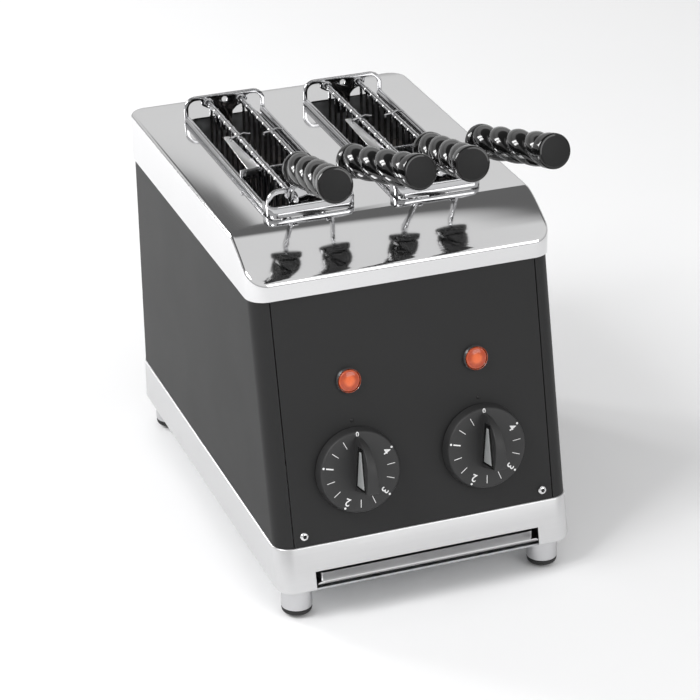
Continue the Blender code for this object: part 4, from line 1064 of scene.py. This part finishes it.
# Half of the tongs, in the space of its rod: x from the rod, z up from the rod
def cageForm(side):
    t, w = tong, wires
    bottom = -t["rodUp"] - w["drop"]
    radius, front, back, end = t["rodRadius"], w["rodFront"], w["rodBack"], w["rodTip"]
    rod = turnPiece("rod", [(radius * 0.7, front), (radius, front + end), (radius, back - end),
                            (radius * 0.7, back)], 20)
    place(rod, zBack)
    parts, knotHalf = [rod], w["weld"]
    for i in range(w["count"]):
        y = wireAt(i)
        parts.append(bendWire("wire", [(0, y, bottom), (0, y, -radius * 0.4)], w["radius"], 10))
        knot = turnPiece("weld", [(0.0011, -0.0016), (knotHalf * 0.86, -0.0009), (knotHalf * 0.93, 0),
                                  (knotHalf * 0.86, 0.0009), (0.0011, 0.0016)], 14)
        place(knot, shift(0, y, -0.0001) @ zForward)
        parts.append(knot)
    low, high = w["first"] - w["barPast"], w["last"] + w["barPast"]
    parts.append(bendWire("bar", [(0, low, bottom), (0, high, bottom)], w["bar"], 12))
    y, top = wireAt(w["clipAfter"] + 0.5), radius + w["clipAbove"]
    branch = [*w["clip"], (0.0030, 0.0022, top)]
    clip = ([(-x, y - along, z) for x, along, z in branch] + [(0, y, top + 0.0002)]
            + [(x, y + along, z) for x, along, z in reversed(branch)])
    parts.append(bendWire("clip", roundedPath(clip, w["clipRound"], 4), w["clipRadius"], 8))
    parts.append(armForm(side))
    return joinAll(parts, "cageForm")


arm = {"thick": 0.0020, "width": 0.0070, "low": 0.0040, "kneeUp": 0.0080, "kneeForward": 0.0045,
       "neck": 0.0080, "weld": 0.0004, "round": 0.008, "edge": 0.0004, "seam": 0.0003, "sink": 0.001}
handle = {"forward": 0.0336, "up": 0.0335, "out": 0.0061, "tilt": math.radians(15.75),
          "splay": math.radians(5.7), "length": 0.1057, "flange": 0.0118, "flangeLength": 0.0060,
          "neck": 0.0094, "neckLength": 0.0040, "lobeOut": 0.0116, "lobeIn": 0.0084, "round": 0.6,
          "lead": 0.050, "cap": 0.0118, "capLength": 0.0110, "around": 56, "turns": 110, "disc": 0.0100}
handleDir = Vector((math.sin(handle["splay"]) * math.cos(handle["tilt"]),
                    -math.cos(handle["splay"]) * math.cos(handle["tilt"]), math.sin(handle["tilt"])))


def armForm(side):
    flangeY, footY = tong["hoopFront"] - handle["forward"], tong["hoopFront"] - arm["low"]
    forward = Vector((handleDir.y, handleDir.z)).normalized()
    end = Vector((flangeY, handle["up"])) - forward * arm["seam"]
    neck = end - forward * arm["neck"]
    path = roundedPath([(footY + arm["sink"], -arm["sink"], 0),
                        (footY - arm["kneeForward"], arm["kneeUp"], 0), (neck.x, neck.y, 0),
                        (end.x, end.y, 0)], arm["round"], 6)
    form = cutSheet("armForm", stripAlong(path, arm["width"]), arm["thick"], arm["edge"])
    footX = tong["rodRadius"] - arm["weld"] + arm["thick"] / 2
    out = (handle["out"] - footX) / handle["up"]
    edit(form)
    mesh = bmesh.from_edit_mesh(form.data)
    for vert in mesh.verts:
        y, z, x = vert.co
        vert.co = Vector((side * (footX + x - arm["thick"] / 2 + max(z, 0) * out), y, z))
    bmesh.update_edit_mesh(form.data)
    faceOut()
    leave()
    return form


def handleForm():
    h = handle
    start, capStart = h["flangeLength"] + h["neckLength"], h["length"] - h["capLength"]
    count, section = h["around"], []
    for i in range(count):
        angle = 2 * math.pi * i / count
        radius = h["lobeIn"] + (h["lobeOut"] - h["lobeIn"]) * abs(math.sin(angle)) ** h["round"]
        section.append((radius * math.cos(angle), radius * math.sin(angle), start - 0.003))
    flutes = drawChain("flutes", section)
    pick(flutes, "VERT", lambda v: len(v.link_edges) == 1)
    bpy.ops.mesh.edge_face_add()
    leave()
    rise = capStart - start + 0.006
    modify(flutes, "SCREW", screw_offset=rise, angle=2 * math.pi * rise / h["lead"], steps=h["turns"],
           render_steps=h["turns"], use_merge_vertices=False)
    edit(flutes)
    pick(flutes, "EDGE", lambda e: e.is_boundary)
    bpy.ops.mesh.fill_holes(sides=0)
    faceOut()
    leave()
    neck, flange, cap, length = h["neck"], h["flange"], h["cap"], h["length"]
    flangeEnd = turnPiece("flange", [(flange * 0.9, 0), (flange * 0.985, 0.0005), (flange, 0.0014),
                                     (flange, 0.0036), (flange * 0.985, 0.0050), (flange * 0.93, 0.0058),
                                     (neck, h["flangeLength"] + 0.0002), (neck * 0.97, start - 0.001),
                                     (neck * 0.85, start + 0.002)], 72)
    capEnd = turnPiece("cap", [
        (neck * 0.8, capStart - 0.003), (neck * 0.98, capStart - 0.001), (cap * 0.9, capStart + 0.0002),
        (cap * 0.975, capStart + 0.0009), (cap, capStart + 0.0026), (cap, length - 0.0022),
        (cap * 0.985, length - 0.0008), (cap * 0.95, length - 0.0001), (cap * 0.93, length)], 72)
    for end in (flangeEnd, capEnd):
        carve(flutes, end, "UNION")
    return named(flutes, "handleForm")


def makeTongs():
    t = tong
    body, hoopLow, hoopHigh = frameForm(), hoopForm(t["frontFoot"]), hoopForm(t["rearFoot"])
    leaf, grip = leafForm(), handleForm()
    end, radius = handle["length"], handle["disc"]
    disc = turnPiece("capDisc", [(radius, end - 0.0004), (radius, end + 0.00005),
                                 (radius * 0.96, end + 0.0002)], 64)
    for name, side in sides.items():
        tag = name.title()
        at = shift(side * slotMiddle, 0, lidTop)
        group = "tongs_" + name
        for form, word, node, finish, y in (
                (body, "tongFrame", "tong_frame_", "shadedChromeWire", 0),
                (hoopLow, "frontHoop", "front_hoop_", "shadedChromeWire", t["hoopFront"]),
                (hoopHigh, "rearHoop", "rear_hoop_", "shadedChromeWire", t["hoopRear"]),
                (leaf, "leafSpring", "leaf_spring_", "leafSteel", 0)):
            piece = copyOf(form, word + tag, at @ shift(0, y, 0))
            finishPiece(piece, finish, group, [node + name])
        for lean in (-1, 1):
            half = ("outer" if lean == side else "inner")
            rodAt = at @ shift(lean * t["rodOffset"], 0, t["rodUp"])
            member = "cage_" + name + "_" + half
            cage = cageForm(lean)
            place(cage, rodAt)
            ending = tag + half.title()
            finishPiece(named(cage, "cage" + ending), "shadedChromeWire", member, [member])
            flange = Vector((lean * handle["out"], t["hoopFront"] - handle["forward"], handle["up"]))
            pointing = Vector((lean * handleDir.x, handleDir.y, handleDir.z))
            along = rodAt @ Matrix.Translation(flange) @ pointing.to_track_quat("Z", "Y").to_matrix().to_4x4()
            finishPiece(copyOf(grip, "handle" + ending, along), "bakelite", member,
                        ["handle_" + name + "_" + half], 28)
            finishPiece(copyOf(disc, "handleCap" + ending, along), "capBlack", member)
    discard(body, hoopLow, hoopHigh, leaf, grip, disc)


makeTongs()
print("tongs made")

# Floor, light and camera
stage = {"floor": 6.0, "tint": (0.95, 0.95, 0.955)}
lights = [  # name, place, aims at, width, height, power
    ("keyFront", (-1.32, -0.72, 1.75), (0, 0, 0.2), 0.34, 0.85, 11),
    ("keyRear", (-1.40, -0.34, 1.75), (0, 0, 0.2), 0.34, 0.85, 11),
    ("windowLeft", (-1.34, 1.42, 0.95), (0, 0, 0.3), 0.24, 0.80, 9),
    ("windowRight", (-1.08, 1.64, 0.95), (0, 0, 0.3), 0.24, 0.80, 9),
    ("front", (0.9, -2.2, 1.1), (0, 0, 0.1), 1.3, 1.0, 11),
]
sky = {"heights": [(0.0, 0.62), (0.20, 0.50), (0.26, 0.78), (0.42, 0.82), (0.74, 0.85), (0.90, 0.82)],
       "gap": [(0.0, 0), (0.425, 0), (0.44, 1), (0.87, 1), (0.91, 0)],
       "gapBehind": [(0.0, 0), (0.52, 0), (0.56, 1)],
       "gapDepth": 0.82}
view = {"place": (-0.6042, -1.6773, 0.9992), "azimuth": 19.761, "down": 26.154, "roll": -0.955,
        "lens": 140.63}


# Pale surroundings, with the dark gap behind between the backdrop and the softbox overhead
def makeSky():
    world = bpy.data.worlds.new("studio")
    world.use_nodes = True
    bpy.context.scene.world = world
    air = NodeTree(world.node_tree)
    spot = air.node("ShaderNodeTexCoord", {}, {}, 0)
    up = air.node("ShaderNodeSeparateXYZ", {}, {0: spot}, 2)
    behind = air.node("ShaderNodeSeparateXYZ", {}, {0: spot}, 1) * 0.5 + 0.5
    gap = air.ramp(up, sky["gap"]) * air.ramp(behind, sky["gapBehind"])
    level = air.ramp(up, sky["heights"]) * (1 - gap * sky["gapDepth"])
    background = world.node_tree.nodes["Background"]
    air.feed(background.inputs[0], level)


def makeStage():
    deselect()
    bpy.ops.mesh.primitive_grid_add(x_subdivisions=8, y_subdivisions=8, size=stage["floor"],
                                    location=(0, 0, -0.0004))
    floor = named(bpy.context.object, "studioFloor")
    settle()
    paper = Finish("paper", stage["tint"], 0.9)
    paper.set(**{"Base Color": paper.tone(paper.noise(5, 3), 0.985, 1.01)})
    floor.data.materials.append(paper.made)
    makeSky()
    for name, spot, aim, width, height, power in lights:
        deselect()
        bpy.ops.object.light_add(type="AREA", location=spot)
        light = bpy.context.object
        light.name = name
        light.data.shape = "RECTANGLE"
        light.data.size, light.data.size_y = width, height
        light.data.energy = power
        light.rotation_euler = (Vector(aim) - Vector(spot)).to_track_quat("-Z", "Y").to_euler()


def makeCamera():
    deselect()
    bpy.ops.object.camera_add(location=view["place"])
    camera = bpy.context.object
    azimuth, down, roll = (math.radians(view[key]) for key in ("azimuth", "down", "roll"))
    forward = Vector((math.sin(azimuth) * math.cos(down), math.cos(azimuth) * math.cos(down),
                      -math.sin(down)))
    right = Vector((math.cos(azimuth), -math.sin(azimuth), 0))
    up = right.cross(forward)
    turnedRight = right * math.cos(roll) + up * math.sin(roll)
    turnedUp = up * math.cos(roll) - right * math.sin(roll)
    camera.rotation_euler = Matrix((turnedRight, turnedUp, -forward)).transposed().to_euler()
    camera.data.sensor_width = 36
    camera.data.lens = view["lens"]
    camera.data.clip_start, camera.data.clip_end = 0.01, 50
    bpy.context.scene.camera = camera
    bpy.context.scene.view_settings.view_transform = "Standard"


makeStage()
makeCamera()
print("stage, lights and camera set")
